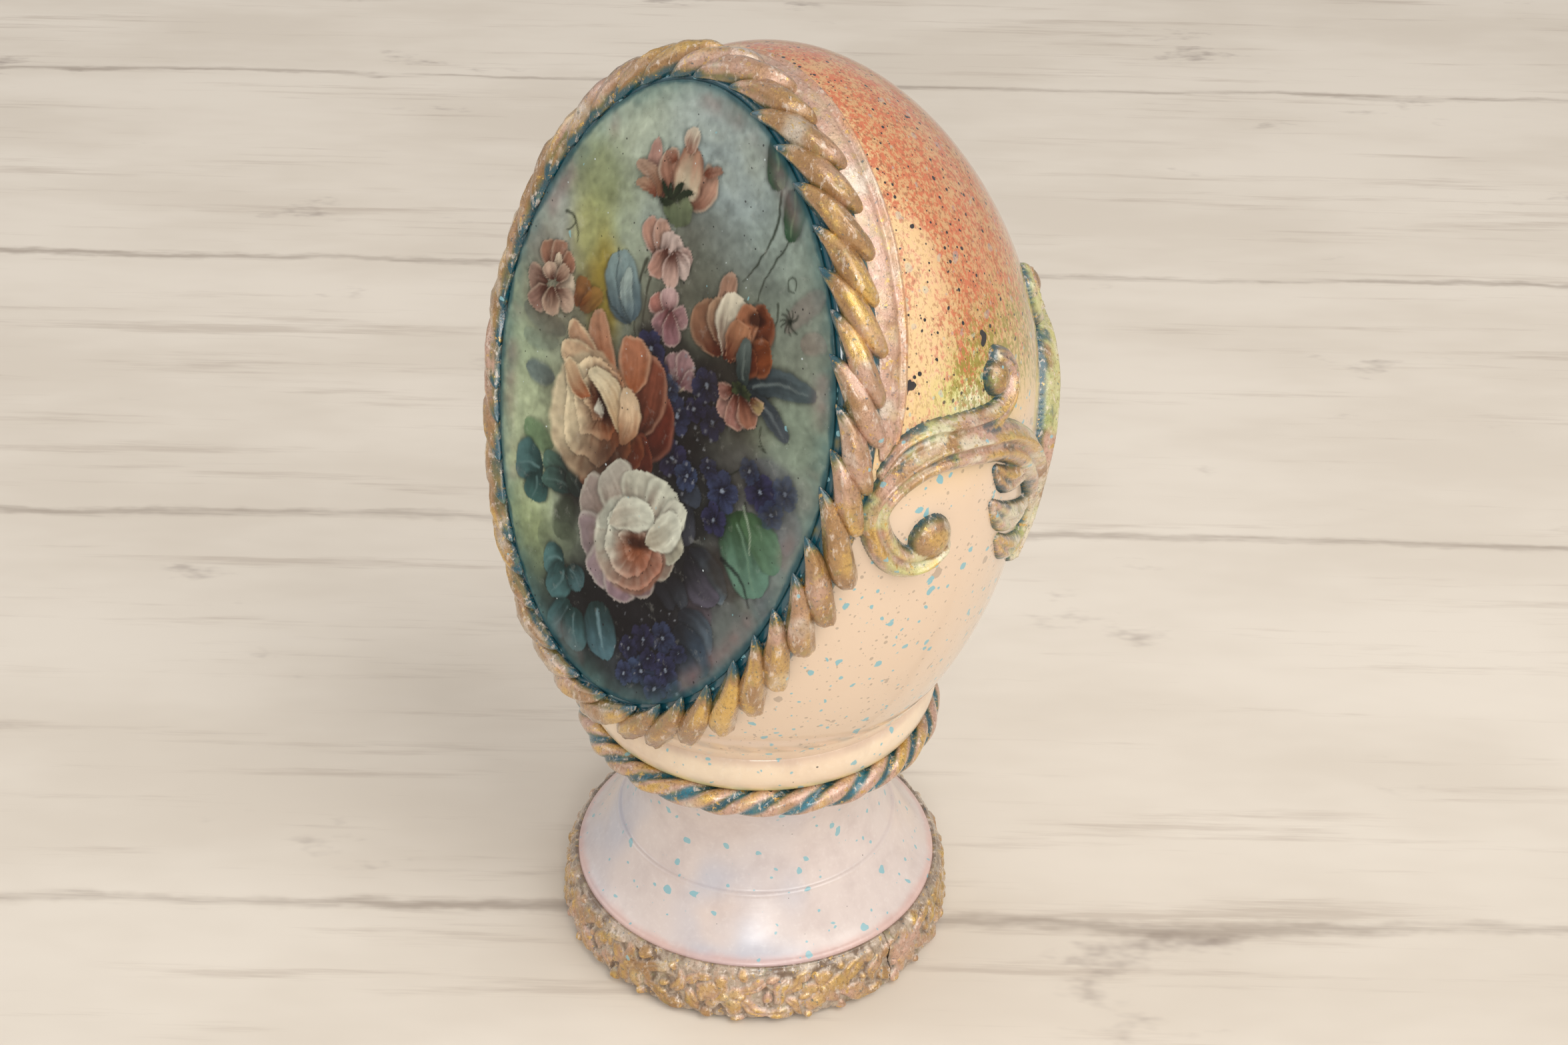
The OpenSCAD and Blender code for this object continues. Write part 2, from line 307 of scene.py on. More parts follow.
class Picture:
    """Paint on the oval, laid over itself in layers. Places are millimetres from its middle,
    to the right and up, shifted a little by noise so that every outline is drawn by hand."""

    def __init__(self, a, b):
        flat = np.stack([a, b, 0 * a], -1)
        self.a = a + 0.40 * cloud(flat, 3.6, 901) + 0.14 * cloud(flat, 1.1, 903)
        self.b = b + 0.40 * cloud(flat, 3.6, 905) + 0.14 * cloud(flat, 1.1, 907)
        self.spots = np.stack([self.a, self.b, 0 * a], -1)
        self.rgb = np.tile(tone(146, 154, 136), (len(a), 1))

    def grain(self, size, seed, layers=3):
        return cloud(self.spots, size, seed, layers)

    def lay(self, where, share, colour):
        """Covers the chosen points with a colour, by a share from 0 to 1."""
        self.rgb[where] = mix(self.rgb[where], colour, np.clip(share, 0, 1))

    def near(self, a, b, reach):
        return np.flatnonzero((np.abs(self.a - a) < reach) & (np.abs(self.b - b) < reach))

    def dab(self, spot, size, turn, colour, share=1.0, soft=0.3, wobble=0.2, seed=1):
        """Ellipse of half sizes `size`, turned in degrees, with a soft uneven edge."""
        pick = self.near(*spot, max(size) * (1.5 + soft))
        c, s = math.cos(math.radians(turn)), math.sin(math.radians(turn))
        x, y = self.a[pick] - spot[0], self.b[pick] - spot[1]
        d = np.hypot((x * c + y * s) / size[0], (y * c - x * s) / size[1])
        d = d + wobble * cloud(self.spots[pick], max(size) * 0.7, seed)
        self.lay(pick, share * smooth(1 + soft, 1 - soft, d), colour)

    def petal(self, root, tip, width, inner, outer, rim=None, bend=0.0, fat=0.62, soft=0.10,
              shade=0.5, streak=0.25, share=1.0, seed=1):
        """A petal from root to tip. Its half width at share u of the way is
        u^p (1-u)^q, widest at `fat`, and it bends sideways by 4 bend u (1-u). The colour runs
        from inner to outer with streaks along it, a pale rim and a soft shadow around it."""
        root, tip = np.array(root, float), np.array(tip, float)
        length = np.linalg.norm(tip - root)
        way = (tip - root) / length
        middle = (root + tip) / 2
        pick = self.near(*middle, 0.5 * length + width + 2.0 + abs(bend))
        x, y = self.a[pick] - root[0], self.b[pick] - root[1]
        edge = cloud(self.spots[pick], max(width, 2.0) * 0.45, seed)
        u = (x * way[0] + y * way[1]) / length
        v = (y * way[0] - x * way[1]) - bend * 4 * u * (1 - u)
        inside = np.clip(u, 1e-4, 1 - 1e-4)
        q = 0.42
        p = q * fat / (1 - fat)
        peak = fat ** p * (1 - fat) ** q
        half = width / 2 * inside ** p * (1 - inside) ** q / peak
        e = np.abs(v) / np.maximum(half, 0.05) + 0.10 * edge
        past = np.maximum(np.maximum(-u, u - 1) * length, 0)
        gap = past + np.maximum(e - 1, 0) * np.maximum(half, 0.25)
        self.rgb[pick] *= (1 - 0.8 * shade * share * np.exp(-(gap / 0.45) ** 2))[:, None]
        body = smooth(1 + soft, 1 - soft, e) * (past <= 0)
        along = np.stack([u * 1.5, v / max(width, 0.5) * 7, 0 * u], -1)
        line = field(along, 1.0, seed + 7) * streak + field(along * 2.3, 1.0, seed + 9) * streak * 0.6
        colour = mix(np.tile(inner, (len(pick), 1)), outer, smooth(0.0, 0.9, u + 0.5 * line))
        colour = colour * (1 + 0.45 * line)[:, None]
        if rim is not None:
            colour = mix(colour, rim, 0.6 * smooth(0.66, 0.98, np.maximum(e, smooth(0.8, 1.0, u))))
        colour = colour * (1 - 0.35 * smooth(0.90, 1.05, e) * (rim is None))[:, None]
        self.lay(pick, share * body, colour)

    def leaf(self, root, tip, width, dark, light, vein, bend, seed, fat=0.5):
        """A leaf: a petal with a dark outline and a vein down its middle."""
        self.petal(root, tip, width, dark, light, None, bend, fat, shade=0.55, streak=0.18, seed=seed)
        if vein is not None:
            root, tip = np.array(root, float), np.array(tip, float)
            side = np.array([root[1] - tip[1], tip[0] - root[0]]) / np.linalg.norm(tip - root)
            middle = (root + tip) / 2 + side * bend
            self.stroke([root * 0.85 + tip * 0.15, middle, root * 0.12 + tip * 0.88], 0.16, vein, 0.7)

    def stroke(self, route, half, colour, share=1.0):
        """A brush line through three or more points, as chords of a smooth curve."""
        route = np.array(route, float)
        knots = np.linspace(0, 1, len(route))
        s = np.linspace(0, 1, 10 * len(route))
        weights = np.array([[np.prod([(x - knots[j]) / (knots[i] - knots[j])
                                      for j in range(len(route)) if j != i])
                             for i in range(len(route))] for x in s])
        line = weights @ route
        low, high = line.min(0) - 1, line.max(0) + 1
        pick = np.flatnonzero((self.a > low[0]) & (self.a < high[0]) & (self.b > low[1])
                              & (self.b < high[1]))
        spots = self.spots[pick][:, None, :2]
        start, step = line[:-1], np.diff(line, axis=0)
        t = np.clip(((spots - start) * step).sum(-1) / np.maximum((step ** 2).sum(-1), 1e-6), 0, 1)
        d = np.linalg.norm(spots - start - step * t[..., None], axis=-1)
        best = d.argmin(1)
        thick = half * (1 - 0.6 * (best / len(step)))
        self.lay(pick, share * smooth(thick + 0.22, thick - 0.10, d.min(1)), colour)

    def floret(self, spot, size, turn, dark, light, eye, share, seed):
        """A small open flower: a dark hollow, petals from one middle, and an eye."""
        self.dab(spot, (size * 1.1, size * 1.1), 0, tone(24, 22, 34), 0.55 * share, 0.35, 0.2, seed)
        for k in range(5):
            a = math.radians(turn + 72 * k)
            tip = (spot[0] + size * math.cos(a), spot[1] + size * math.sin(a) * 0.92)
            self.petal(spot, tip, size * 0.82, dark, light, light * 1.25, fat=0.66, shade=0.45,
                       streak=0.3, share=share, seed=seed + k)
        self.dab(spot, (size * 0.12, size * 0.11), 0, eye, share, 0.3, 0.1, seed)

    def bowl(self, heart, middle, reach, turns, deep, warm, pale, light, seed):
        """A cupped rose. Circles of size t run from the heart (t = 0) to the rim (t = 1), their
        middles sliding from one to the other, and the petals are the turns of a spiral in t.
        Each is dark at its root and light at its lip. `light` is the lit side in degrees."""
        middle, reach = np.array(middle, float), np.array(reach, float)
        pick = self.near(*middle, reach.max() * 1.25)
        p = (self.spots[pick][:, :2] - middle) / reach
        p = p + 0.05 * np.stack([cloud(self.spots[pick], 3.0, seed),
                                 cloud(self.spots[pick], 3.0, seed + 4)], -1)
        h = (np.array(heart, float) - middle) / reach
        q = p - h
        slide, room = q @ h, 1 - h @ h
        t = (slide + np.sqrt(slide ** 2 + room * (q ** 2).sum(1))) / room
        way = q + h * t[:, None]
        turn = np.arctan2(way[:, 1], way[:, 0])
        ring = np.stack([np.cos(turn) * 2.2, np.sin(turn) * 2.2, t * 3], -1)
        phase = (t ** 0.85 * turns + turn / (2 * np.pi) + 0.30 * field(ring, 1.0, seed + 8)
                 + 0.12 * np.abs(np.sin(2.5 * turn + 4 * t)))
        part = phase - np.floor(phase)
        side = 0.5 + 0.5 * np.cos(turn - math.radians(light))
        lit = side ** 1.2 * (0.30 + 0.70 * smooth(0.15, 0.65, t))
        fibre = field(np.stack([turn * 9, t * 4, 0 * t], -1), 1.0, seed + 12)
        colour = mix(np.tile(warm, (len(pick), 1)), pale, np.clip(lit + 0.12 * fibre, 0, 1))
        colour = mix(np.tile(deep, (len(pick), 1)), colour, smooth(0.02, 0.42, t + 0.05 * fibre))
        lip = smooth(0.50, 0.92, part)
        root = np.exp(-part / 0.13) + 0.5 * np.exp(-(1 - part) / 0.03)
        colour = colour * (0.76 + 0.42 * lip + 0.08 * fibre)[:, None]
        colour = colour * (1 - 0.42 * np.clip(root, 0, 1))[:, None]
        colour = mix(colour, pale, 0.45 * lip * lit)
        self.lay(pick, smooth(1.03, 0.93, t), colour)


def paint_background(pic):
    """Soft washes, lightest at the top and left, dark in the lower middle."""
    for spot, size, turn, colour, share in [
        ((-14, 36), (17, 12), 20, tone(170, 178, 160), 0.9),
        ((8, 40), (16, 11), 0, tone(154, 163, 158), 0.9),
        ((6, 31), (12, 9), 0, tone(142, 153, 152), 0.8),
        ((23, 30), (12, 12), 0, tone(128, 138, 128), 0.8),
        ((30, 17), (8, 12), 0, tone(120, 124, 112), 0.7),
        ((-29, 22), (8, 14), 10, tone(156, 160, 152), 0.9),
        ((-31, -3), (10, 14), 0, tone(156, 168, 140), 0.9),
        ((-24, -17), (9, 15), 10, tone(170, 178, 146), 0.9),
        ((-20, -31), (9, 10), 40, tone(138, 148, 112), 0.9),
        ((-17, 18), (4.5, 11), 20, tone(150, 148, 88), 0.7),
        ((-13.5, 11), (3.4, 9), 15, tone(146, 128, 56), 0.85),
        ((-19, 28), (7, 5), -30, tone(128, 136, 96), 0.6),
        ((24, 2), (11, 9), 0, tone(118, 122, 116), 0.8),
        ((28, 8), (8, 6), 0, tone(136, 148, 130), 0.8),
        ((22, -22), (13, 12), 0, tone(98, 98, 104), 0.85),
        ((24, -23), (4, 5), 0, tone(116, 124, 112), 0.7),
        ((15, -2), (10, 5), 0, tone(84, 78, 82), 0.6),
        ((-2, -39), (22, 9), 0, tone(44, 60, 62), 0.85),
        ((12, -35), (14, 9), 0, tone(62, 60, 76), 0.8),
        ((4, 14), (9, 12), 0, tone(104, 106, 92), 0.6),
        ((3, 24), (7, 7), 0, tone(118, 120, 108), 0.5),
    ]:
        pic.dab(spot, size, turn, colour, share, 0.6, 0.35, int(size[0] * 7 + spot[0]))
    for spot, size, turn in [((6, 3), (9, 10), 0), ((9, -8), (9, 8), -20), ((0, 8), (7, 5), 0),
                             ((9, -18), (8, 10), 20), ((3, -30), (13, 6), 5), ((-11, -17), (6, 4), 0),
                             ((12, 8), (6, 5), 0), ((-4, -34), (9, 8), 0)]:
        pic.dab(spot, size, turn, tone(30, 27, 30), 0.85, 0.45, 0.35, int(spot[1] * 3 + 40))
    mottle = pic.grain(7, 11) * 0.18 + pic.grain(1.6, 12) * 0.16 + pic.grain(0.7, 14) * 0.08
    pic.rgb = pic.rgb * (1 + mottle)[:, None]
    warm = smooth(0.1, 0.9, pic.grain(9, 13))
    pic.rgb = mix(pic.rgb, pic.rgb * np.array([1.06, 1, 0.90]), warm)


def paint_faint_leaves(pic):
    """Pale leaves and tendrils that sink into the background."""
    grey_blue, lilac = tone(112, 124, 118), tone(104, 104, 112)
    for root, tip, width, colour, share in [
        ((-20, 3.5), (-29.5, 4.6), 3.6, grey_blue, 0.6),
        ((-21, 1.6), (-29, 0.4), 3, tone(116, 130, 118), 0.5),
        ((-20.4, -3.6), (-27, -4), 3.6, tone(94, 108, 112), 0.75),
        ((-18, -13.5), (-25, -12.5), 4.6, tone(98, 124, 92), 0.8),
        ((-12.5, -19), (-14, -26), 5, tone(66, 74, 60), 0.8),
        ((-10, -24), (-18, -27.5), 5, tone(110, 120, 98), 0.5),
        ((21, 20), (26, 27.5), 3.4, tone(140, 124, 118), 0.5),
        ((24, 19), (28.5, 21), 3, tone(138, 118, 110), 0.5),
        ((19, -20), (27, -27), 7.5, tone(106, 108, 106), 0.7),
        ((12, -22), (19, -25), 5, tone(98, 88, 94), 0.7),
        ((22, -3), (31, -7), 7, lilac, 0.5), ((20, 1), (29, -1), 5, tone(90, 90, 100), 0.5),
    ]:
        pic.petal(root, tip, width, colour * 0.8, colour, None, 0.3, 0.55, 0.3, 0.15, 0.15, share,
                  int(width * 10))
    green = tone(40, 48, 34)
    for route, half in [
        ([(15, 37.4), (15.4, 32), (14, 27.5), (11.6, 23.5)], 0.16),
        ([(18.4, 33), (17, 28.5), (15.4, 25), (14.8, 22)], 0.10),
        ([(-6.6, 20), (-7, 15), (-6.2, 9)], 0.20), ([(-5.4, 19), (-5.2, 14), (-4.6, 8.5)], 0.16),
        ([(-4.2, 27), (-5.2, 23), (-6.4, 18)], 0.14), ([(-12.8, 19.4), (-12.6, 17.6), (-13.4, 15.4)], 0.10),
        ([(-24.2, 20.6), (-22.6, 20.6), (-21.4, 19.2), (-20.8, 17.2)], 0.13),
        ([(-22.4, 20.5), (-22, 19.6), (-23.4, 18.2)], 0.10),
        ([(18.4, 23), (19, 21.4), (18.6, 18.6)], 0.12),
        ([(21, 26), (20.4, 27.2), (19.6, 26.2), (20.8, 25.6)], 0.07),
        ([(20.2, 6), (21, 4), (22, 3.4), (20.6, 3.6)], 0.08), ([(16, 10), (18.6, 9.8), (21, 10.8)], 0.18),
        ([(12, -4), (16, -3), (20, 0.6)], 0.10), ([(20.4, -5), (22, -7.4), (23, -10)], 0.10),
    ]:
        pic.stroke(route, half, green, 0.85)
    for k in range(9):
        a = math.radians(40 + 33 * k)
        pic.stroke([(21.5, 21.4), (21.5 + 1.1 * math.cos(a), 21.4 + 0.9 * math.sin(a)),
                    (21.5 + 2.0 * math.cos(a + 0.3), 21.4 + 1.6 * math.sin(a + 0.3))], 0.13,
                    tone(40, 46, 38), 0.8)


def paint_top_flowers(pic):
    """Two bell flowers with a green calyx, hanging buds, and the chain of pink blossoms."""
    brown, pink, cream = tone(112, 70, 54), tone(166, 134, 122), tone(184, 174, 156)
    for k, petal in enumerate([
        ((-4.6, 28.6), (-9.2, 36.6), 3.2, brown, pink, tone(178, 150, 138), 1.4, 0.4),
        ((-6.4, 29), (-12, 32.2), 2.6, tone(126, 90, 70), tone(160, 136, 118), None, -1, 0.55),
        ((-7.6, 28.8), (-11.4, 29.6), 1.6, brown, tone(150, 124, 104), None, -0.6, 0.5),
        ((-2.2, 29.4), (-6.6, 36), 4.6, brown, tone(158, 122, 104), cream, 0.8, 0.6),
        ((-2, 29.4), (3, 35.8), 4.8, brown, tone(162, 130, 112), cream, -0.8, 0.6),
        ((-2, 30), (-2, 37.6), 5.2, tone(190, 180, 156), tone(160, 128, 108), tone(120, 76, 58), 0, 0.45),
        ((-2.6, 36.2), (-2.2, 40), 3, tone(140, 104, 88), cream, tone(188, 176, 160), 0.2, 0.6),
        ((0.8, 34.6), (4.4, 35.8), 1.4, brown, tone(150, 118, 102), None, 0.2, 0.5),
        ((-4.8, 34.6), (-7.2, 35.4), 1.3, brown, tone(150, 118, 102), None, 0.2, 0.5),
        ((-2.4, 26.2), (-3, 30.6), 6, tone(96, 108, 82), tone(128, 138, 108), None, 0, 0.55),
    ]):
        pic.petal(*petal, seed=3 + k)
    for k, tip in enumerate([(-6.8, 31.2), (-5, 31.4), (-2.6, 32.4), (-0.6, 31.8), (-6.9, 28.8)]):
        pic.petal((-3.2, 29), tip, 1, tone(52, 62, 44), tone(42, 52, 38), None, 0.3, 0.55, seed=13 + k)
    for root, tip, width in [((12, 43.4), (14.6, 36.8), 3.8), ((17.4, 38.4), (18.4, 31.6), 3.8)]:
        pic.leaf(root, tip, width, tone(16, 32, 24), tone(52, 80, 58), tone(104, 126, 98), 0.2, seed=20)
    pic.leaf((14.2, 39.6), (15, 37.2), 1.6, tone(40, 50, 38), tone(104, 122, 96), None, 0, seed=21)

    rose, blush, shadow = tone(150, 108, 98), tone(188, 170, 160), tone(84, 54, 46)
    pic.dab((-1.4, 16), (5.6, 11), -10, tone(84, 78, 70), 0.6, 0.6, 0.3, 40)
    for root, tip, width, bend, light in [
        ((-3.6, 20.5), (-7.8, 25.6), 3.6, 0.5, tone(164, 130, 114)),
        ((-3.2, 20.4), (-5.4, 26.2), 3.4, 0.2, tone(170, 140, 124)),
        ((-2.6, 20.2), (-2.4, 25.2), 4.6, 0, blush),
        ((-2.2, 20.2), (1.4, 23.8), 3.4, -0.4, tone(172, 148, 138)),
        ((-2.4, 22.4), (1.8, 20.2), 3, 0.5, blush),
        ((-3.2, 22.6), (-5.4, 18.4), 3.4, 0.5, tone(160, 126, 112)),
        ((-1.8, 22.4), (-1.6, 17.6), 3.6, 0, tone(172, 146, 134)),
    ]:
        pic.petal(root, tip, width, shadow, light, mix(light, blush, 0.7), bend, 0.62, seed=int(width * 20))
    for root, tip, width, bend, light in [
        ((-0.6, 13.4), (-4, 15.6), 3.4, 0.4, rose * 1.15),
        ((-0.4, 13.6), (-1.4, 17.6), 3.8, 0, tone(176, 150, 146)),
        ((-0.2, 13.2), (2.8, 15.6), 3.2, -0.3, tone(162, 130, 130)),
        ((-0.6, 14.6), (-2.8, 11), 3.2, 0.4, tone(158, 124, 126)),
        ((0, 14.6), (1.6, 10.2), 3.6, -0.3, tone(146, 110, 114)),
    ]:
        pic.petal(root, tip, width, tone(104, 66, 66), light, blush, bend, 0.66, seed=int(width * 31))
    for root, tip, width, bend in [
        ((3.6, 5.4), (1.6, 9.4), 3.2, 0.4), ((3.8, 5.4), (4.6, 10.2), 3.4, 0),
        ((4, 5.4), (6.4, 8), 2.6, -0.4),
    ]:
        pic.petal(root, tip, width, tone(122, 84, 88), tone(160, 130, 130), tone(194, 178, 168), bend, 0.7,
                  seed=41)
    pic.stroke([(1.2, 6), (3, 4.6), (5, 5.6)], 0.22, tone(196, 182, 160), 0.8)


def paint_left_buds(pic):
    """Pink buds at the left, and the blue-grey pod leaf beside them."""
    shadow, blush = tone(84, 52, 42), tone(182, 168, 148)
    pic.dab((-23.4, 9.6), (8, 8), 0, tone(92, 72, 58), 0.6, 0.6, 0.3, 50)
    for root, tip, width, bend, light in [
        ((-24.6, 11.4), (-27, 15.4), 3.4, 0.5, tone(142, 108, 90)),
        ((-24.2, 11.4), (-24.2, 16.4), 3.6, 0.2, tone(150, 116, 98)),
        ((-23.8, 11.6), (-21.4, 14.8), 3.2, -0.4, tone(138, 102, 84)),
        ((-24.2, 11.6), (-24.4, 14.4), 1.4, 0, tone(188, 174, 152)),
        ((-25.6, 9.6), (-30, 9.6), 4.2, 0.5, tone(148, 122, 108)),
        ((-25.4, 9), (-28.6, 5.2), 4, 0.4, tone(140, 112, 100)),
        ((-24.4, 10.2), (-26.2, 12.4), 3.2, 0.2, tone(170, 148, 130)),
        ((-23.8, 9), (-20, 11.2), 3.8, -0.4, blush),
        ((-24, 8.8), (-19.2, 7.6), 3.4, 0.3, tone(174, 152, 134)),
        ((-24.4, 9.4), (-24.2, 5), 4.2, 0.2, tone(164, 140, 122)),
        ((-23.8, 10.4), (-22.2, 13), 2.6, 0, tone(160, 136, 118)),
    ]:
        pic.petal(root, tip, width, shadow, light, mix(light, blush, 0.7), bend, 0.64, seed=int(width * 17))
    pic.petal((-18.8, 8.2), (-17.6, 13), 3.4, tone(110, 62, 34), tone(134, 92, 56), None, 0, 0.6, share=0.8,
              seed=51)
    pic.petal((-17.8, 7.8), (-14.4, 12.2), 3.2, tone(120, 72, 40), tone(150, 112, 66), None, 0, 0.6,
              share=0.7, seed=52)
    pic.petal((-7.4, 10.2), (-12.6, 18.8), 7.4, tone(84, 100, 106), tone(126, 142, 140), None, 0.3, 0.5,
              seed=53)
    pic.petal((-7.6, 10.4), (-9.8, 17.4), 2.6, tone(100, 116, 120), tone(146, 158, 152), None, 0.4, 0.5,
              shade=0.2, seed=54)
    pic.stroke([(-7.4, 10.2), (-10.6, 13.4), (-12.8, 18.8)], 0.16, tone(60, 72, 74), 0.7)
    pic.stroke([(-13.4, 12.4), (-11, 10.8), (-7.4, 10)], 0.15, tone(50, 58, 56), 0.7)


def paint_big_rose(pic):
    """The large cream and rust rose: outer petals, the bowl, and its dark heart."""
    cream, rust, deep = tone(200, 186, 156), tone(138, 84, 54), tone(56, 27, 16)
    pic.dab((-8.6, -4.6), (13.5, 14.5), 0, tone(44, 30, 24), 0.75, 0.5, 0.3, 60)
    red, pale = tone(100, 50, 38), tone(176, 146, 122)
    for root, tip, width, inner, outer, rim, bend in [
        ((-3, -9), (1.8, 3.4), 7.4, deep, red, tone(140, 96, 80), -1.6),
        ((-3, -6), (-1.4, 7.4), 6.4, deep, tone(116, 70, 54), tone(160, 124, 104), -1.2),
        ((-4, -10), (1.8, -6.4), 6.2, deep, tone(104, 50, 32), tone(138, 84, 64), 0.8),
        ((-8, 1), (-14.4, 9.4), 5, rust, tone(160, 122, 98), pale, 1.2),
        ((-5, 0), (-6.6, 8.6), 6.6, rust, tone(150, 104, 80), pale, -0.8),
        ((-9, 1.4), (-19.6, 5.4), 4.2, rust, tone(170, 138, 112), cream, 0.9),
        ((-8, 0), (-20.4, 1.4), 4.6, rust, tone(182, 158, 130), cream, -0.6),
        ((-10, -10), (-17.4, -11.6), 7, rust, tone(150, 118, 96), tone(170, 150, 132), -0.8),
        ((-9, -10), (-8, -16.2), 8, deep, tone(138, 92, 66), tone(150, 112, 88), 0.4),
        ((-7, -10), (-2.6, -14.6), 7.4, deep, tone(124, 66, 38), tone(142, 92, 66), 0.6),
        ((-6, -6), (-0.8, -9.6), 6.6, deep, tone(122, 62, 34), tone(150, 96, 68), 0.4),
    ]:
        pic.petal(root, tip, width, inner, outer, rim, bend, 0.62, shade=0.5,
                  seed=int(abs(tip[0]) * 9 + width))
    pic.bowl((-9.8, -2.6), (-11.4, -6), (9.4, 9.8), 4.2, deep, rust, cream * 1.08, 175, seed=61)
    pic.dab((-15.4, -8), (3, 3.4), 20, cream, 0.45, 0.6, 0.25, 62)
    pic.dab((-10.6, -2.6), (4.4, 1.9), -38, tone(74, 38, 22), 0.85, 0.5, 0.3, 63)
    pic.dab((-9.8, -3.4), (2.6, 0.9), -48, tone(48, 24, 14), 0.9, 0.5, 0.3, 64)
    pic.petal((-5, -5.4), (-13.8, 0.8), 4, tone(170, 140, 106), tone(196, 184, 156), cream, -1.5, 0.5,
              seed=65)
    pic.petal((-4.6, -7.4), (-5.6, 1), 4.4, tone(160, 116, 84), tone(186, 164, 136), None, -1, 0.6, seed=66)
    pic.petal((-12.6, -3.2), (-18.6, 0.2), 3.4, rust, tone(182, 158, 128), cream, 0.9, 0.6, seed=67)
    for a in range(0, 100, 14):
        w = math.radians(a - 20)
        pic.stroke([(-11.2, -4.6), (-11.2 + 0.9 * math.cos(w), -4.6 + 0.8 * math.sin(w)),
                    (-11.2 + 1.8 * math.cos(w), -4.6 + 1.5 * math.sin(w))], 0.10, tone(190, 186, 170), 0.8)


def paint_white_rose(pic):
    """The white rose below it, with a rust heart and lilac lower petals."""
    white, lilac, rust, deep = tone(190, 190, 174), tone(138, 122, 124), tone(140, 86, 58), tone(52, 27, 18)
    pic.dab((1, -19.4), (13, 12.6), 0, tone(36, 32, 34), 0.8, 0.5, 0.3, 80)
    for root, tip, width, outer, bend in [
        ((-2, -18), (-10.6, -16), 8, tone(142, 130, 122), 0.8),
        ((-2, -20), (-9.6, -23.4), 7.6, tone(132, 118, 118), 0.4),
        ((-1, -21), (-5.6, -28.6), 7.2, lilac, 0.4), ((0, -21), (0.6, -29.6), 7.4, tone(134, 114, 118), 0),
        ((2, -21), (5.6, -26.8), 6.6, tone(118, 98, 98), -0.4),
        ((3, -19), (9.8, -20.6), 6, tone(128, 112, 100), 0.2),
        ((1, -17), (-6, -10.8), 8.4, tone(164, 158, 146), 0.6),
        ((3, -17), (0.6, -9), 9, tone(176, 174, 158), 0.2),
        ((4, -17), (6.4, -8.8), 7.6, tone(180, 180, 164), -0.2), ((5, -17), (9.8, -10.4), 4.6, white, -0.3),
        ((5, -15), (10.4, -18.6), 5.6, tone(160, 156, 138), 0.4),
    ]:
        pic.petal(root, tip, width, tone(124, 104, 92), outer, mix(outer, white, 0.6), bend, 0.66,
                  shade=0.42, seed=int(width * 13 + abs(tip[1])))
    pic.bowl((2.2, -19.8), (0.6, -20.8), (7.6, 7.2), 3.3, deep, tone(152, 110, 92), white, 150, seed=81)
    pic.dab((2, -20.6), (3.6, 2.4), 15, rust, 0.6, 0.6, 0.3, 82)
    pic.dab((2.4, -19.4), (2.8, 1), 18, deep, 0.85, 0.5, 0.35, 83)
    pic.petal((-4, -19.4), (4.4, -14.2), 4.6, tone(170, 162, 146), white, white * 1.08, 0.9, 0.6, seed=84)
    pic.petal((3.6, -18.8), (9.6, -12.6), 5, tone(166, 158, 140), white, white * 1.08, -0.4, 0.6, seed=85)


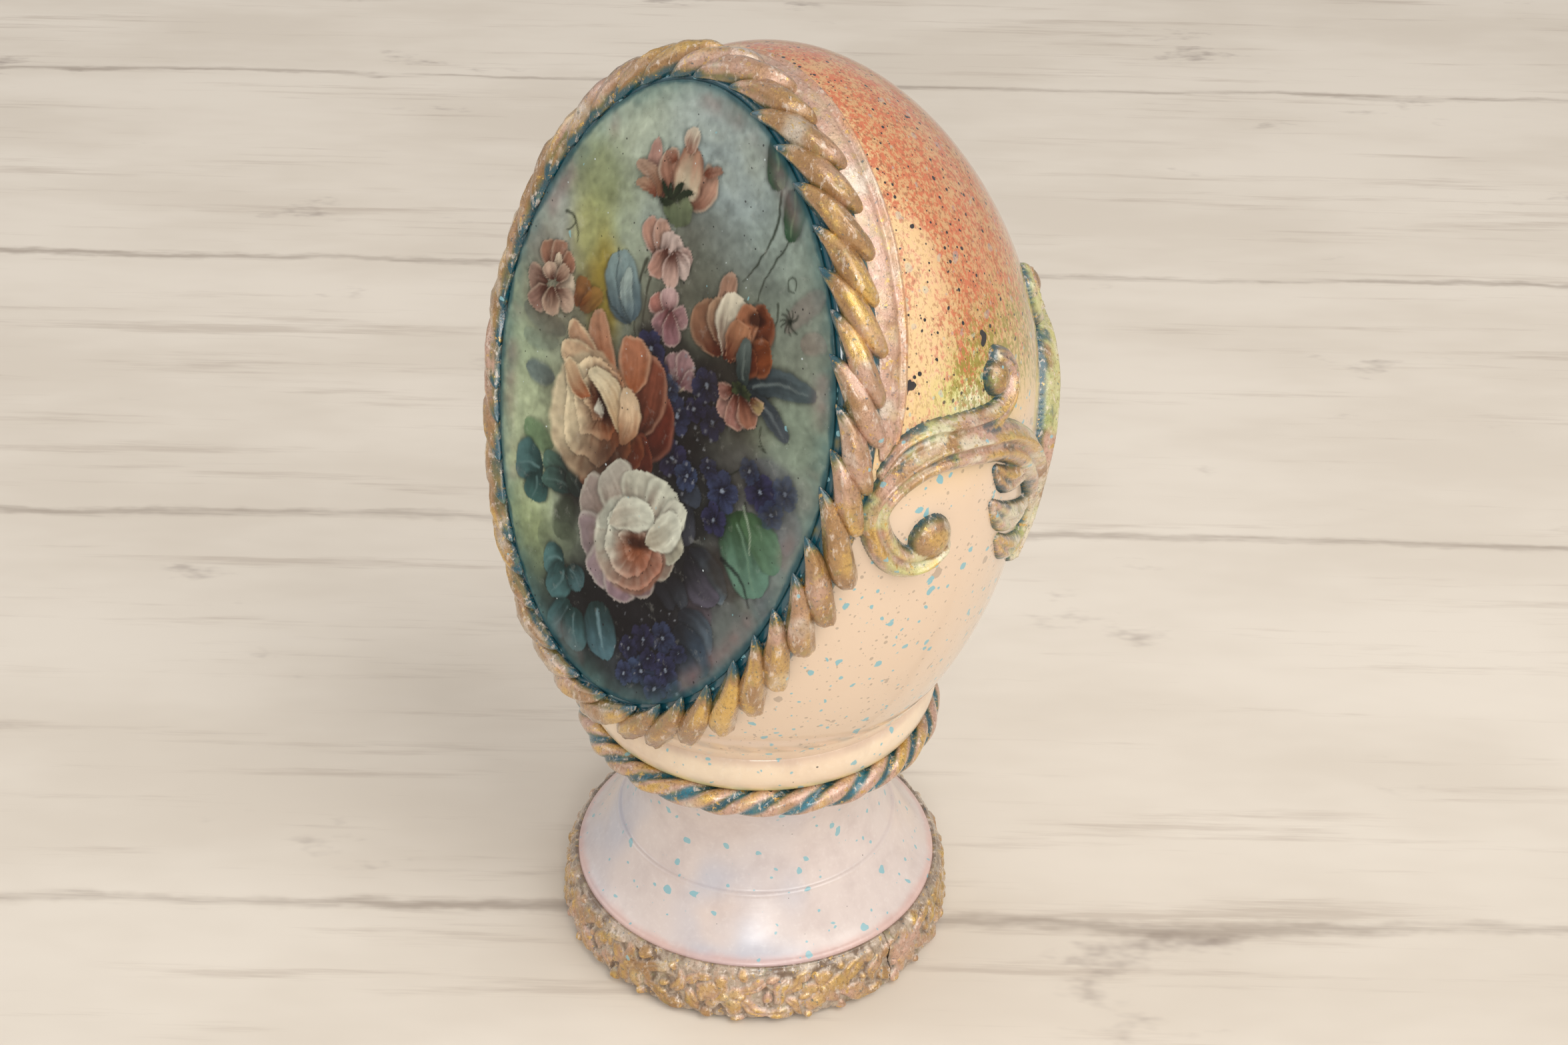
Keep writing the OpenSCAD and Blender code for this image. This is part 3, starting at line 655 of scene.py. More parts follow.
def paint_right_bud(pic):
    """The orange-pink rosebud, the bud below it and their grey-blue leaves."""
    brown, pale = tone(82, 42, 28), tone(192, 184, 164)
    pic.dab((13.4, 12), (9, 12), 10, tone(52, 44, 38), 0.65, 0.6, 0.3, 90)
    pic.leaf((15.4, 10.4), (28.6, 13.8), 3.8, tone(46, 54, 58), tone(82, 92, 94), tone(110, 118, 116), 0.7,
             seed=91)
    pic.leaf((17, 9.8), (25.2, 5.8), 2.8, tone(48, 54, 58), tone(78, 84, 88), tone(104, 110, 110), 0.5,
             seed=92)
    for root, tip, width, outer, rim, bend in [
        ((11.4, 13), (9.2, 24), 3.6, tone(150, 120, 102), tone(172, 150, 132), 0.6),
        ((10.6, 12.4), (5.2, 18.4), 6.4, tone(128, 96, 76), tone(152, 126, 104), 0.8),
        ((10.4, 13.4), (8.6, 20.2), 5.2, tone(150, 122, 100), tone(176, 152, 128), 0.4),
        ((14, 14), (17.2, 21.6), 5.8, tone(104, 60, 40), tone(142, 100, 78), -0.4),
        ((14.6, 13.6), (19.4, 16), 5.2, tone(112, 64, 38), tone(146, 98, 70), -0.4),
        ((13.6, 12.6), (17.4, 14.2), 4, tone(96, 50, 30), tone(130, 84, 60), 0),
        ((11.8, 12.4), (11, 21.4), 5.8, pale, tone(196, 188, 170), 0.3),
        ((12.6, 12.2), (14.2, 21), 4.2, tone(150, 104, 78), tone(166, 126, 100), -0.2),
        ((12, 12.6), (13.4, 18.2), 4.6, tone(148, 108, 82), tone(170, 130, 104), -0.2),
    ]:
        pic.petal(root, tip, width, brown, outer, rim, bend, 0.62, seed=int(width * 23))
    pic.dab((15.4, 19.4), (1.5, 1.1), 20, tone(52, 24, 16), 0.85, 0.4, 0.3, 93)
    pic.leaf((15.4, 10.2), (14.6, 16.4), 2.8, tone(52, 60, 58), tone(86, 94, 90), tone(108, 116, 110), 0,
             seed=94)
    for root, tip, width, outer, bend in [
        ((14.4, 8.6), (12.6, 4.6), 3.6, tone(150, 118, 108), 0.3),
        ((15, 8.8), (15.4, 3.6), 3.6, tone(142, 104, 94), 0),
        ((15.8, 8.8), (18.6, 5.2), 3.4, tone(138, 98, 80), -0.3),
        ((14, 9), (11.4, 8), 2.6, tone(134, 100, 90), 0.2),
        ((17, 9), (19.8, 7.8), 2.6, tone(150, 132, 96), 0.2),
    ]:
        pic.petal(root, tip, width, brown, outer, tone(172, 146, 130), bend, 0.64, seed=int(width * 37))
    for k in range(6):
        a = math.radians(-20 + 45 * k)
        pic.petal((15.6, 9.2), (15.6 + 1.8 * math.cos(a), 9.2 + 1.2 * math.sin(a)), 0.9,
                  tone(44, 50, 34), tone(66, 72, 48), None, 0.1, 0.6, seed=95)


def paint_leaves(pic):
    """Teal leaves at the left and bottom, grey and green ones at the right."""
    teal, deep = tone(82, 112, 110), tone(40, 62, 60)
    for root, tip, width, light, bend in [
        ((-19.6, -17.4), (-25.6, -19), 6.6, teal, -0.6),
        ((-20.4, -18.6), (-20.6, -23.2), 5, tone(66, 96, 92), 0.4),
        ((-12.8, -16.8), (-19.8, -15.6), 4.6, tone(86, 112, 100), 0.4),
        ((-12.6, -17.6), (-19.4, -19.2), 3.6, tone(78, 104, 96), -0.4),
        ((-10.4, -17.6), (-14, -15.6), 3.6, tone(54, 76, 68), 0),
        ((-11.4, -29), (-15.8, -31), 4.6, teal, -0.5),
        ((-11, -29.8), (-13.2, -35), 5.2, tone(78, 108, 108), 0.4),
        ((-10.4, -29.4), (-7, -31.8), 4, tone(82, 110, 112), 0.3),
        ((-8.4, -34.6), (-12, -40.4), 5.2, tone(72, 100, 102), 0.4),
        ((-7.6, -34.8), (-5.2, -40.8), 5, tone(76, 104, 106), -0.4),
        ((-3.4, -31.6), (0.6, -39.2), 6.6, tone(80, 106, 112), -0.3),
    ]:
        pic.leaf(root, tip, width, deep, light, mix(light, tone(150, 170, 168), 0.2), bend,
                 seed=int(width * 19 + abs(tip[0])))
    pic.stroke([(-2.6, -33), (-1.8, -35.4), (-0.6, -37.6)], 0.35, tone(122, 148, 152), 0.5)
    dark_grey, slate = tone(46, 48, 54), tone(98, 108, 114)
    for root, tip, width, light, bend, seed in [
        ((7.4, -8), (12.6, -8.8), 3.4, tone(66, 72, 82), 0.3, 101),
        ((10.6, -9.8), (11.6, -15.6), 3.8, tone(82, 84, 92), -0.3, 102),
        ((12.4, -16), (20.6, -20.2), 4.6, slate, 0.9, 103),
        ((11.8, -17.4), (19.4, -20.8), 4.6, tone(94, 90, 100), -1, 104),
        ((7.6, -23.2), (11.8, -25.4), 3.6, tone(58, 60, 66), 0.4, 105),
        ((9.6, -21.8), (14, -24), 3.2, tone(70, 74, 80), 0.3, 106),
        ((13, -25.2), (20.4, -28.2), 5, tone(86, 96, 104), 0.8, 107),
        ((12.8, -27.6), (20.6, -31.4), 6.6, tone(64, 76, 88), -0.6, 108),
        ((13.6, -30.4), (18.8, -33.4), 4.4, tone(56, 66, 80), -0.5, 109),
    ]:
        pic.leaf(root, tip, width, dark_grey, light, None, bend, seed=seed)
    pic.dab((20, -15.4), (5, 3.4), -30, tone(60, 50, 40), 0.7, 0.4, 0.4, 110)
    pic.leaf((19, -7), (25.8, -16.8), 9.4, tone(56, 78, 52), tone(100, 128, 112), tone(118, 142, 120), 0.2,
             seed=111, fat=0.46)
    pic.petal((20.6, -6.6), (28.8, -11.4), 5.4, tone(70, 94, 66), tone(96, 122, 100), None, 0.4, 0.55,
              shade=0.15, seed=112)
    pic.stroke([(18.4, -14.4), (22.6, -15.6), (25.2, -18.6)], 0.28, tone(26, 26, 28), 0.8)
    pic.stroke([(20.4, -5.6), (22.2, -8), (23.2, -11.4)], 0.14, tone(156, 168, 148), 0.8)


def paint_florets(pic):
    """Blue-violet florets in the dark middle, and the cluster at the bottom."""
    ink, violet, blue, eye = tone(30, 28, 46), tone(56, 54, 82), tone(66, 78, 102), tone(132, 140, 152)
    for a, b, size, turn, share in [
        (-2.6, 8.2, 2.9, 80, 1), (-0.4, 5.8, 2.2, 20, 0.9), (9, 7.4, 2.9, 60, 1),
        (11.6, 3, 2.6, 10, 0.9), (4.8, 1.4, 3, 95, 1), (2.4, 4.4, 1.9, 40, 0.8),
        (8, 3.6, 2, 75, 0.8), (5.4, -4.8, 3.1, 110, 1), (8.8, -6.2, 2.4, 30, 0.9),
        (2.8, -1.8, 2, 15, 0.8), (16, -5.4, 3.2, 92, 1), (15.6, -9.8, 2.4, 250, 1),
        (12.8, -3.4, 1.8, 60, 0.6), (22.6, -2.4, 3, 75, 0.9), (27, -0.8, 2.6, 20, 0.5),
        (25.4, -4.6, 2.2, 120, 0.5), (20, -0.6, 2, 0, 0.6), (10.8, -30.6, 2.6, 85, 0.9),
        (7, -32.6, 2.4, 20, 0.9), (4.6, -35.4, 2, 55, 0.8), (8, -37.2, 2.8, 100, 1),
        (11.4, -38.6, 2.5, 15, 1), (12.6, -34.6, 2.5, 60, 0.9), (15.6, -37, 2.3, 30, 0.7),
        (4.8, -39.4, 2, 70, 0.9), (14.4, -31.2, 1.7, 0, 0.6), (8.8, -34.8, 1.8, 45, 0.8),
    ]:
        light = mix(violet, blue, 0.5 + 0.5 * math.sin(a * 1.7 + b))
        pic.floret((a, b), size, turn, ink, light, eye, share=share, seed=int(a * 7 + b * 3 + 200))
    for k in range(70):
        a = 7 * math.sin(k * 2.399) * math.sqrt(k / 70) + 6
        b = 10 * math.cos(k * 2.399) * math.sqrt(k / 70) - (0 if k % 3 else 30)
        pic.dab((a, b), (0.16 + 0.05 * (k % 3),) * 2, 0, tone(150, 152, 156), 0.6, 0.4, 0, k)


def paint_edge(pic, inset):
    """Teal paint drawn round the rim, and pink beside it in places."""
    around = np.arctan2(pic.b, pic.a)
    wander = cloud(np.stack([np.cos(around) * 40, np.sin(around) * 40, 0 * around], -1), 9.0, 300)
    grain = pic.grain(2.0, 301)
    haze = np.exp(-(inset / (2.6 + 1.6 * wander)) ** 2)
    pink = np.exp(-((inset - 2.2) / 1.5) ** 2) * smooth(0.0, 0.5, wander)
    pic.lay(slice(None), 0.5 * pink, tone(156, 118, 112))
    pic.lay(slice(None), 0.55 * haze * (0.8 + 0.5 * grain), tone(92, 122, 120))
    line = smooth(np.maximum(0.9 + 1.1 * wander, 0.4), 0.1, inset + 0.4 * grain)
    pic.lay(slice(None), 0.75 * line, tone(22, 78, 88))


def medallion_print():
    """A thin closed slab over the oval. A square grid is bent into a disc, so its cells stay
    even, then stretched to the oval's own edge; its upper face carries the painted picture."""
    across, high = PICTURE_GRID
    u, v = np.meshgrid(np.linspace(-1, 1, across), np.linspace(-1, 1, high), indexing="ij")
    x, y = u * np.sqrt(1 - v * v / 2), v * np.sqrt(1 - u * u / 2)
    ring = np.radians(np.arange(0, 360, 0.5))
    reach = oval_reach(ring) - PICTURE_MARGIN
    half_wide = (reach * np.cos(ring)).max()
    top, low = (reach * np.sin(ring)).max(), (reach * np.sin(ring)).min()
    a = x * half_wide
    b = np.where(y > 0, y * top, -y * low)
    bearing = np.mod(np.arctan2(b, a), 2 * np.pi)
    edge = np.interp(bearing, np.append(ring, 2 * np.pi), np.append(reach, reach[0]))
    half_tall = np.where(b > 0, top, low)
    ellipse = 1 / np.sqrt((np.cos(bearing) / half_wide) ** 2 + (np.sin(bearing) / half_tall) ** 2)
    a, b = a * edge / ellipse, b * edge / ellipse
    inset = edge - np.hypot(a, b)

    pic = Picture(a.ravel(), b.ravel())
    paint_background(pic)
    paint_faint_leaves(pic)
    paint_top_flowers(pic)
    paint_left_buds(pic)
    paint_leaves(pic)
    paint_florets(pic)
    paint_big_rose(pic)
    paint_white_rose(pic)
    paint_right_bud(pic)
    paint_edge(pic, inset.ravel())
    pic.rgb = PRINT_GAIN * np.clip(pic.rgb, 0.001, 1) ** PRINT_CONTRAST * PRINT_TINT
    pic.rgb = pic.rgb * (1 + 0.22 * pic.grain(0.9, 905, 2) + 0.14 * pic.grain(3.0, 906, 2))[:, None]

    front = CUT_MIDDLE + a.ravel()[:, None] * np.array([1.0, 0, 0]) + b.ravel()[:, None] * CUT_UP
    face = front + CUT_NORMAL * PICTURE_THICKNESS
    index = np.arange(across * high).reshape(across, high)
    rim = np.concatenate([index[:-1, 0], index[-1, :-1], index[:0:-1, -1], index[0, :0:-1]])
    count = len(rim)
    back = front[rim]
    points = np.concatenate([face, back, [CUT_MIDDLE]])
    j = np.arange(count)
    l = (j + 1) % count
    base = across * high
    wall = np.stack([rim[l], rim[j], base + j, base + l], 1)
    fan = np.stack([base + j, np.full(count, base + count), base + l], 1)
    paint = np.concatenate([pic.rgb, pic.rgb[rim], pic.rgb[:1]])
    return make_mesh("painted_picture", points, [grid_faces(across, high), wall, fan], paint)


# ---------------------------------------------------------------- paint on the castings

BRONZE, GOLD, SILVER = tone(166, 126, 82), tone(228, 186, 102), tone(222, 212, 196)
BLUSH, TEAL, OLIVE, LIME = tone(204, 164, 144), tone(18, 80, 94), tone(118, 108, 54), tone(196, 204, 138)


def casting_paint(points, height, seed, warm=0.5, hollow=TEAL, slope=OLIVE):
    """Layered paint: teal in the hollows, then olive, then bronze, pink and silver on the
    raised parts, with gold rubbed on the crests. `height` is 0 in a hollow and 1 on a crest."""
    patch = cloud(points, 7.0, seed)
    fine = cloud(points, 1.8, seed + 5)
    speck = cloud(points, 0.8, seed + 9)
    h = height + 0.14 * fine + 0.05 * speck
    raised = mix(BRONZE, BLUSH, smooth(-0.35, 0.35, patch + warm - 0.5 + 0.25 * fine))
    raised = mix(raised, SILVER, 0.75 * smooth(0.15, 0.75, cloud(points, 5.0, seed + 13) + 0.3 * fine))
    colour = mix(np.broadcast_to(hollow, raised.shape), slope, smooth(0.22, 0.46, h + 0.1 * patch))
    colour = mix(colour, raised, smooth(0.38, 0.66, h))
    glint = smooth(0.72, 0.92, height + 0.12 * fine) * smooth(-0.15, 0.35, cloud(points, 6.0, seed + 17))
    colour = mix(colour, GOLD, 0.9 * glint)
    return colour, 0.15 + 0.85 * np.maximum(glint, 0.40 * smooth(0.4, 0.8, h))


def lobes(spots, ahead, out, up, turn, length, width, height, slim, full, seed=1, rings=34, around=22):
    """Rows of rope lobes lying on the shell, as separate closed solids. Each runs along a line
    turned outwards from the path and bent a little; its radius at share s of the way is
    s^slim * (1 - s)^full, so both ends are slim, and fine strand lines run along it."""
    n = len(spots)
    way = unit(ahead * np.cos(turn)[:, None] + out * np.sin(turn)[:, None])
    s = (np.arange(rings) + 0.5) / rings
    s = 0.5 - 0.5 * np.cos(np.pi * s) * 0.998
    shape = s ** slim * (1 - s) ** full
    shape = shape / shape.max()
    sway = unit(np.cross(up, way))[:, None] * (0.10 * width * np.sin(2 * np.pi * s))[None, :, None] * 2
    axis = seated(spots[:, None] + way[:, None] * ((s - 0.5) * length[:, None])[..., None] + sway)
    normal = unit(egg_gradient(axis))
    side = unit(np.cross(way[:, None] + 0 * normal, normal))
    a = np.linspace(0, 2 * np.pi, around, endpoint=False)
    rng = np.random.default_rng(seed)
    phase = rng.uniform(0, 6.28, (n, 1, 1))
    flat = rng.uniform(0.90, 1.08, (n, 1, 1))
    ripple = (1 + 0.06 * np.sin(5 * a + phase + 4 * s[:, None])
              + 0.045 * np.sin(9 * a - 3 * s[:, None] + 2 * phase))
    radius = shape[None, :, None] * ripple
    rise = 0.25 + 0.45 * height * shape[:, None] + radius * np.sin(a) * height * flat
    p = (axis[:, :, None] + side[:, :, None] * (radius * np.cos(a) * width)[..., None]
         + normal[:, :, None] * rise[..., None])
    p = p + normal[:, :, None] * (0.24 * cloud(p, 1.5, seed + 3) * shape[:, None])[..., None]
    tips = seated(spots[:, None] + way[:, None] * (np.array([-0.5, 0.5]) * length[:, None])[..., None])
    tips = tips + unit(egg_gradient(tips)) * 0.15
    points = np.concatenate([p.reshape(n, -1, 3), tips], 1)
    crest = (0.5 + 0.5 * np.sin(a)) ** 1.2 * np.ones((n, rings, 1)) * smooth(0.0, 0.25, s)[:, None]
    crest = crest + 1.6 * (ripple - 1)
    crest = np.concatenate([crest.reshape(n, -1), np.zeros((n, 2))], 1)
    quads, fans = tube_faces(rings, around)
    first = (np.arange(n) * (rings * around + 2))[:, None, None]
    quads, fans = (quads + first).reshape(-1, 4), (fans + first).reshape(-1, 3)
    return points.reshape(-1, 3), quads, fans, crest.ravel()


def sweep(spots, up, across, half, rise, sink=0.2, sides=14):
    """An arched strip with a flat back, closed onto a point at both ends. `half` and `rise` are
    the half width and height at each spot."""
    a = np.linspace(0, np.pi, sides)
    x = np.concatenate([np.cos(a), [-1.0, 1.0]])
    y = np.concatenate([np.sin(a), [0.0, 0.0]])
    low = np.concatenate([np.zeros(sides), [-sink, -sink]])
    p = (spots[:, None] + across[:, None] * (half[:, None] * x)[..., None]
         + up[:, None] * (rise[:, None] * y + low)[..., None])
    points = np.concatenate([p.reshape(-1, 3), spots[:1] - up[:1] * sink, spots[-1:] - up[-1:] * sink])
    crest = np.concatenate([(np.ones((len(spots), 1)) * y).ravel(), [0, 0]])
    quads, fans = tube_faces(len(spots), sides + 2)
    return points, quads, fans, crest


def join(parts):
    """Puts (points, quads, triangles, values...) groups together into one."""
    points, quads, fans, values, first = [], [], [], [], 0
    for p, q, f, *rest in parts:
        points.append(p)
        quads.append(q + first)
        fans.append(f + first)
        values.append(rest)
        first += len(p)
    return [np.concatenate(points), np.concatenate(quads), np.concatenate(fans)] + [
        np.concatenate(v) for v in zip(*values)]


# Lengths of the rope: directions on the oval in degrees, lobe pitch, length, half width and
# height, turn outwards, how slim the inner tip and the outer end are, shift outwards,
# how strongly the paint leans to pink, and the seed.
ROPE_LENGTHS = {
    "frame_rope_right": (97.5, 0.5, 6.1, 14.4, 1.8, 2.1, 28, 0.72, 0.50, -0.75, 0.25, 401),
    "frame_rope_left": (244.5, 98, 6.0, 14.0, 1.8, 2.1, 27, 0.72, 0.50, -0.75, 0.10, 402),
    "frame_rope_lower": (359.5, 245, 6.5, 15.8, 2.0, 2.2, 30, 0.72, 0.36, -0.35, 0.10, 403),
}


def rope_length(name):
    """One length of the frame: twisted lobes over a low core strip."""
    start, stop, pitch, length, width, height, turn, slim, full, shift, warm, seed = ROPE_LENGTHS[name]
    p, ahead, out, up, s = along_oval(start, stop, 0.5, ROPE_SETBACK)
    count = int(round(s[-1] / pitch))
    rng = np.random.default_rng(seed)
    at = (np.arange(count) + 0.5) / count * s[-1] + rng.uniform(-0.35, 0.35, count)
    at = np.clip(at, 0.20 * length, s[-1] - 0.20 * length)
    pick = np.clip(np.searchsorted(s, at), 0, len(s) - 1)
    size = rng.uniform(0.92, 1.08, count)
    bend = np.radians(turn + rng.uniform(-4, 4, count))
    rows = lobes(p[pick] + out[pick] * shift, ahead[pick], out[pick], up[pick], bend, length * size,
                 width, height, slim, full, seed)
    core_half, core_rise = np.full(len(p), ROPE_CORE_HALF), np.full(len(p), ROPE_CORE_RISE)
    points, quads, fans, crest = sweep(p, up, -out, core_half, core_rise)
    worn = 0.30 * smooth(-0.1, 0.5, cloud(points, 2.6, seed + 40))
    points, quads, fans, crest = join([rows, (points, quads, fans, crest * 0.12 + worn)])
    colour, metal = casting_paint(points, crest, seed, warm)
    return make_mesh(name.replace("frame_", "painted_"), points, [quads, fans], colour, metal)


# Pink bands outside the rope: directions on the oval in degrees, and how strongly the paint leans to pink.
SKIRTS = {"frame_skirt_right": (12, 92, 0.75), "frame_skirt_left": (104, 168, 0.6)}
SKIRT_BACK = 7.3
SKIRT_HALF = 2.9
SKIRT_RISE = 1.25


def skirt_band(name):
    """A smooth band that tapers at both ends, with a thin ridge along its outer edge."""
    start, stop, warm = SKIRTS[name]
    p, _, out, up, s = along_oval(start, stop, 0.45, SKIRT_BACK)
    share = s / s[-1]
    taper = 0.3 + 0.7 * np.sqrt(np.sin(np.pi * np.clip(share, 0.002, 0.998)))
    wave = 1 + 0.07 * cloud(p, 7.0, 431)
    sides = 22
    a = np.linspace(0, np.pi, sides)
    x = np.concatenate([np.cos(a), [-1.0, 1.0]])
    bead = 0.55 * np.exp(-((x - 0.72) / 0.16) ** 2) - 0.30 * np.exp(-((x - 0.42) / 0.14) ** 2)
    y = np.concatenate([0.75 * np.sin(a) ** 0.8, [0, 0]])
    y[:sides] = y[:sides] + bead[:sides] * np.sin(a)
    low = np.concatenate([np.zeros(sides), [-0.3, -0.3]])
    half, rise = SKIRT_HALF * taper * wave, SKIRT_RISE * taper
    q = (p[:, None] + out[:, None] * (half[:, None] * x)[..., None]
         + up[:, None] * (rise[:, None] * y + low)[..., None])
    points = np.concatenate([q.reshape(-1, 3), p[:1], p[-1:]])
    quads, fans = tube_faces(len(p), sides + 2)
    crest = np.concatenate([(0.42 + 0.45 * np.clip(y, 0, 1) + 0 * p[:, :1]).ravel(), [0.4, 0.4]])
    colour, metal = casting_paint(points, crest, 440, warm + 0.15)
    outer = np.concatenate([np.tile(smooth(0.1, 0.9, x), len(p)), [0, 0]])
    wear = cloud(points, 3.0, 441) + 0.5 * cloud(points, 0.9, 442) + 0.5 * outer
    rubbed = smooth(-0.25, 0.25, wear - 0.25)
    colour = mix(colour, tone(214, 144, 104), 0.6 * rubbed * outer)
    colour = mix(colour, tone(222, 196, 158), 0.5 * smooth(0.0, 0.4, cloud(points, 2.2, 443)))
    return make_mesh(name.replace("frame_", "painted_"), points, [quads, fans], colour, metal)


# ---------------------------------------------------------------- scroll castings

# Routes on the shell: bearing in degrees from the front, height, half width.
BALL_END = (80.5, 94.3, 3.4)
CREST_BALL = (101, 112.6, 2.5)
VOLUTE = [(82.5, 92.4, 2.2), (79, 91.4, 2.5), (75.5, 91.4, 2.4), (72, 93, 2.3), (69, 96.5, 2.2),
          (68, 100.5, 2.3), (71, 103.6, 2.4), (76, 105.6, 2.6), (82, 106.4, 2.7), (88, 106, 2.8),
          (94, 105, 2.9), (101, 103.4, 3), (108, 100, 3), (114, 95, 2.8), (118, 90, 2.5),
          (119, 84, 2.1), (117, 78, 1.5)]
CREST = [(70, 106, 1.0), (74, 108.6, 1.5), (80, 109.6, 1.8), (86, 109, 2.0), (93, 108.2, 2.1),
         (99, 107.8, 2), (104, 108.8, 1.9), (107, 111, 1.7), (106, 113.6, 1.6), (103, 115, 1.5)]
LEAVES = [
    [(99, 99.5, 0.8), (103, 96.6, 2.1), (109, 95.4, 2.0), (114, 94, 1.3)],
    [(98.5, 94, 0.8), (103, 90.4, 2.2), (109, 88.4, 2.1), (116, 87.4, 1.3)],
    [(103, 86.4, 0.9), (107, 83.4, 1.9), (112, 81.8, 1.9), (117, 81, 1.2)],
]
MIRROR_BEARING = 122.5
DEGREE = math.radians(1) * EGG_R

# The castings' grid (start, stop and step of bearing and height), how high a cell must reach to
# be kept, how far a kept cell may dip, and how deep the back of the casting sits in the shell.
SCROLL_BEARINGS = (62.0, 123.0, 0.34)
SCROLL_HEIGHTS = (75.0, 119.5, 0.235)
SCROLL_KEEP = -0.05
SCROLL_DIP = -0.45
SCROLL_SINK = 0.75


def ribbon(x, y, route, rise, groove, ridge):
    """Height of a ribbon over the shell. Its section is a rounded arch, (1 - |e|^2.4)^0.6, less
    a groove on one side of the middle and plus a sharp ridge on the other."""
    route = np.array(route, float)
    fine = np.linspace(0, len(route) - 1, 8 * len(route))
    k = np.clip(fine.astype(int), 0, len(route) - 2)
    t = (fine - k)[:, None]
    before, after = route[np.maximum(k - 1, 0)], route[np.minimum(k + 2, len(route) - 1)]
    a, b = route[k], route[k + 1]
    line = 0.5 * (2 * a + (b - before) * t + (2 * before - 5 * a + 4 * b - after) * t ** 2
                  + (3 * a - before - 3 * b + after) * t ** 3)
    line[:, 0] *= DEGREE
    start, step = line[:-1, :2], np.diff(line[:, :2], axis=0)
    spot = np.stack([x.ravel(), y.ravel()], -1)[:, None]
    along = np.clip(((spot - start) * step).sum(-1) / (step ** 2).sum(-1), 0, 1)
    gap = spot - start - step * along[..., None]
    d = np.linalg.norm(gap, axis=-1)
    best = d.argmin(1)
    row = np.arange(len(best))
    side = np.sign(step[best, 0] * gap[row, best, 1] - step[best, 1] * gap[row, best, 0])
    half = line[best, 2] + (line[best + 1, 2] - line[best, 2]) * along[row, best]
    e = side * d[row, best] / half
    body = np.clip(1 - np.abs(e) ** 2.4, 0, 1) ** 0.6
    detail = ridge * np.exp(-((e - 0.30) / 0.13) ** 2) - groove * np.exp(-((e + 0.12) / 0.20) ** 2)
    past = np.clip(np.abs(e) - 1, 0, 2)
    height = rise * half / 2.6 * (body + detail * (body > 0)) - 0.6 * (np.abs(e) >= 1) - 0.5 * past
    return height.reshape(x.shape), np.where(np.abs(e) < 1, body + detail, 0).reshape(x.shape)


def dome(x, y, place, rise):
    """Height of a ball half sunk in the shell."""
    d = np.hypot(x - place[0] * DEGREE, y - place[1]) / place[2]
    body = np.sqrt(np.clip(1 - d * d, 0, 1))
    return np.where(d < 1, rise * body, -0.6), body


def scroll_relief():
    """The casting as heights over a grid of bearing and height. Where pieces cross, the higher
    one shows."""
    bearing, z = np.meshgrid(np.arange(*SCROLL_BEARINGS), np.arange(*SCROLL_HEIGHTS), indexing="ij")
    x = bearing * DEGREE
    layers = [ribbon(x, z, VOLUTE, 2.3, 0.42, 0.20), ribbon(x, z, CREST, 2.3, 0.36, 0.24),
              dome(x, z, BALL_END, 2.5), dome(x, z, CREST_BALL, 2.2)]
    layers += [ribbon(x, z, leaf, 1.9, 0.42, 0.10) for leaf in LEAVES]
    heights = np.array([layer[0] for layer in layers])
    top = heights.argmax(0)
    height = np.take_along_axis(heights, top[None], 0)[0]
    crest = np.take_along_axis(np.array([layer[1] for layer in layers]), top[None], 0)[0]
    spots = on_egg(bearing, z)
    height = height + np.where(height > 0, 0.10 * cloud(spots, 2.6, 451) * np.clip(height, 0, 1), 0)
    return bearing, z, height, crest, (top == 2) | (top == 3)


def sheet_slab(outer, inner, keep):
    """Two sheets over the same grid with walls between them round the cells that are kept."""
    rows, columns = keep.shape[0] + 1, keep.shape[1] + 1
    total = rows * columns
    i, j = np.nonzero(keep)
    a, b = i * columns + j, (i + 1) * columns + j
    c, d = b + 1, a + 1
    faces = [np.stack([a, b, c, d], 1), np.stack([d, c, b, a], 1) + total]
    padded = np.pad(keep, 1)
    for missing, (p, q) in [(padded[1:-1, :-2], (a, b)), (padded[2:, 1:-1], (b, c)),
                            (padded[1:-1, 2:], (c, d)), (padded[:-2, 1:-1], (d, a))]:
        edge = ~missing[i, j]
        faces.append(np.stack([q[edge], p[edge], p[edge] + total, q[edge] + total], 1))
    faces = np.concatenate(faces)
    used, renamed = np.unique(faces, return_inverse=True)
    points = np.concatenate([outer.reshape(-1, 3), inner.reshape(-1, 3)])
    return points[used], renamed.reshape(faces.shape), used


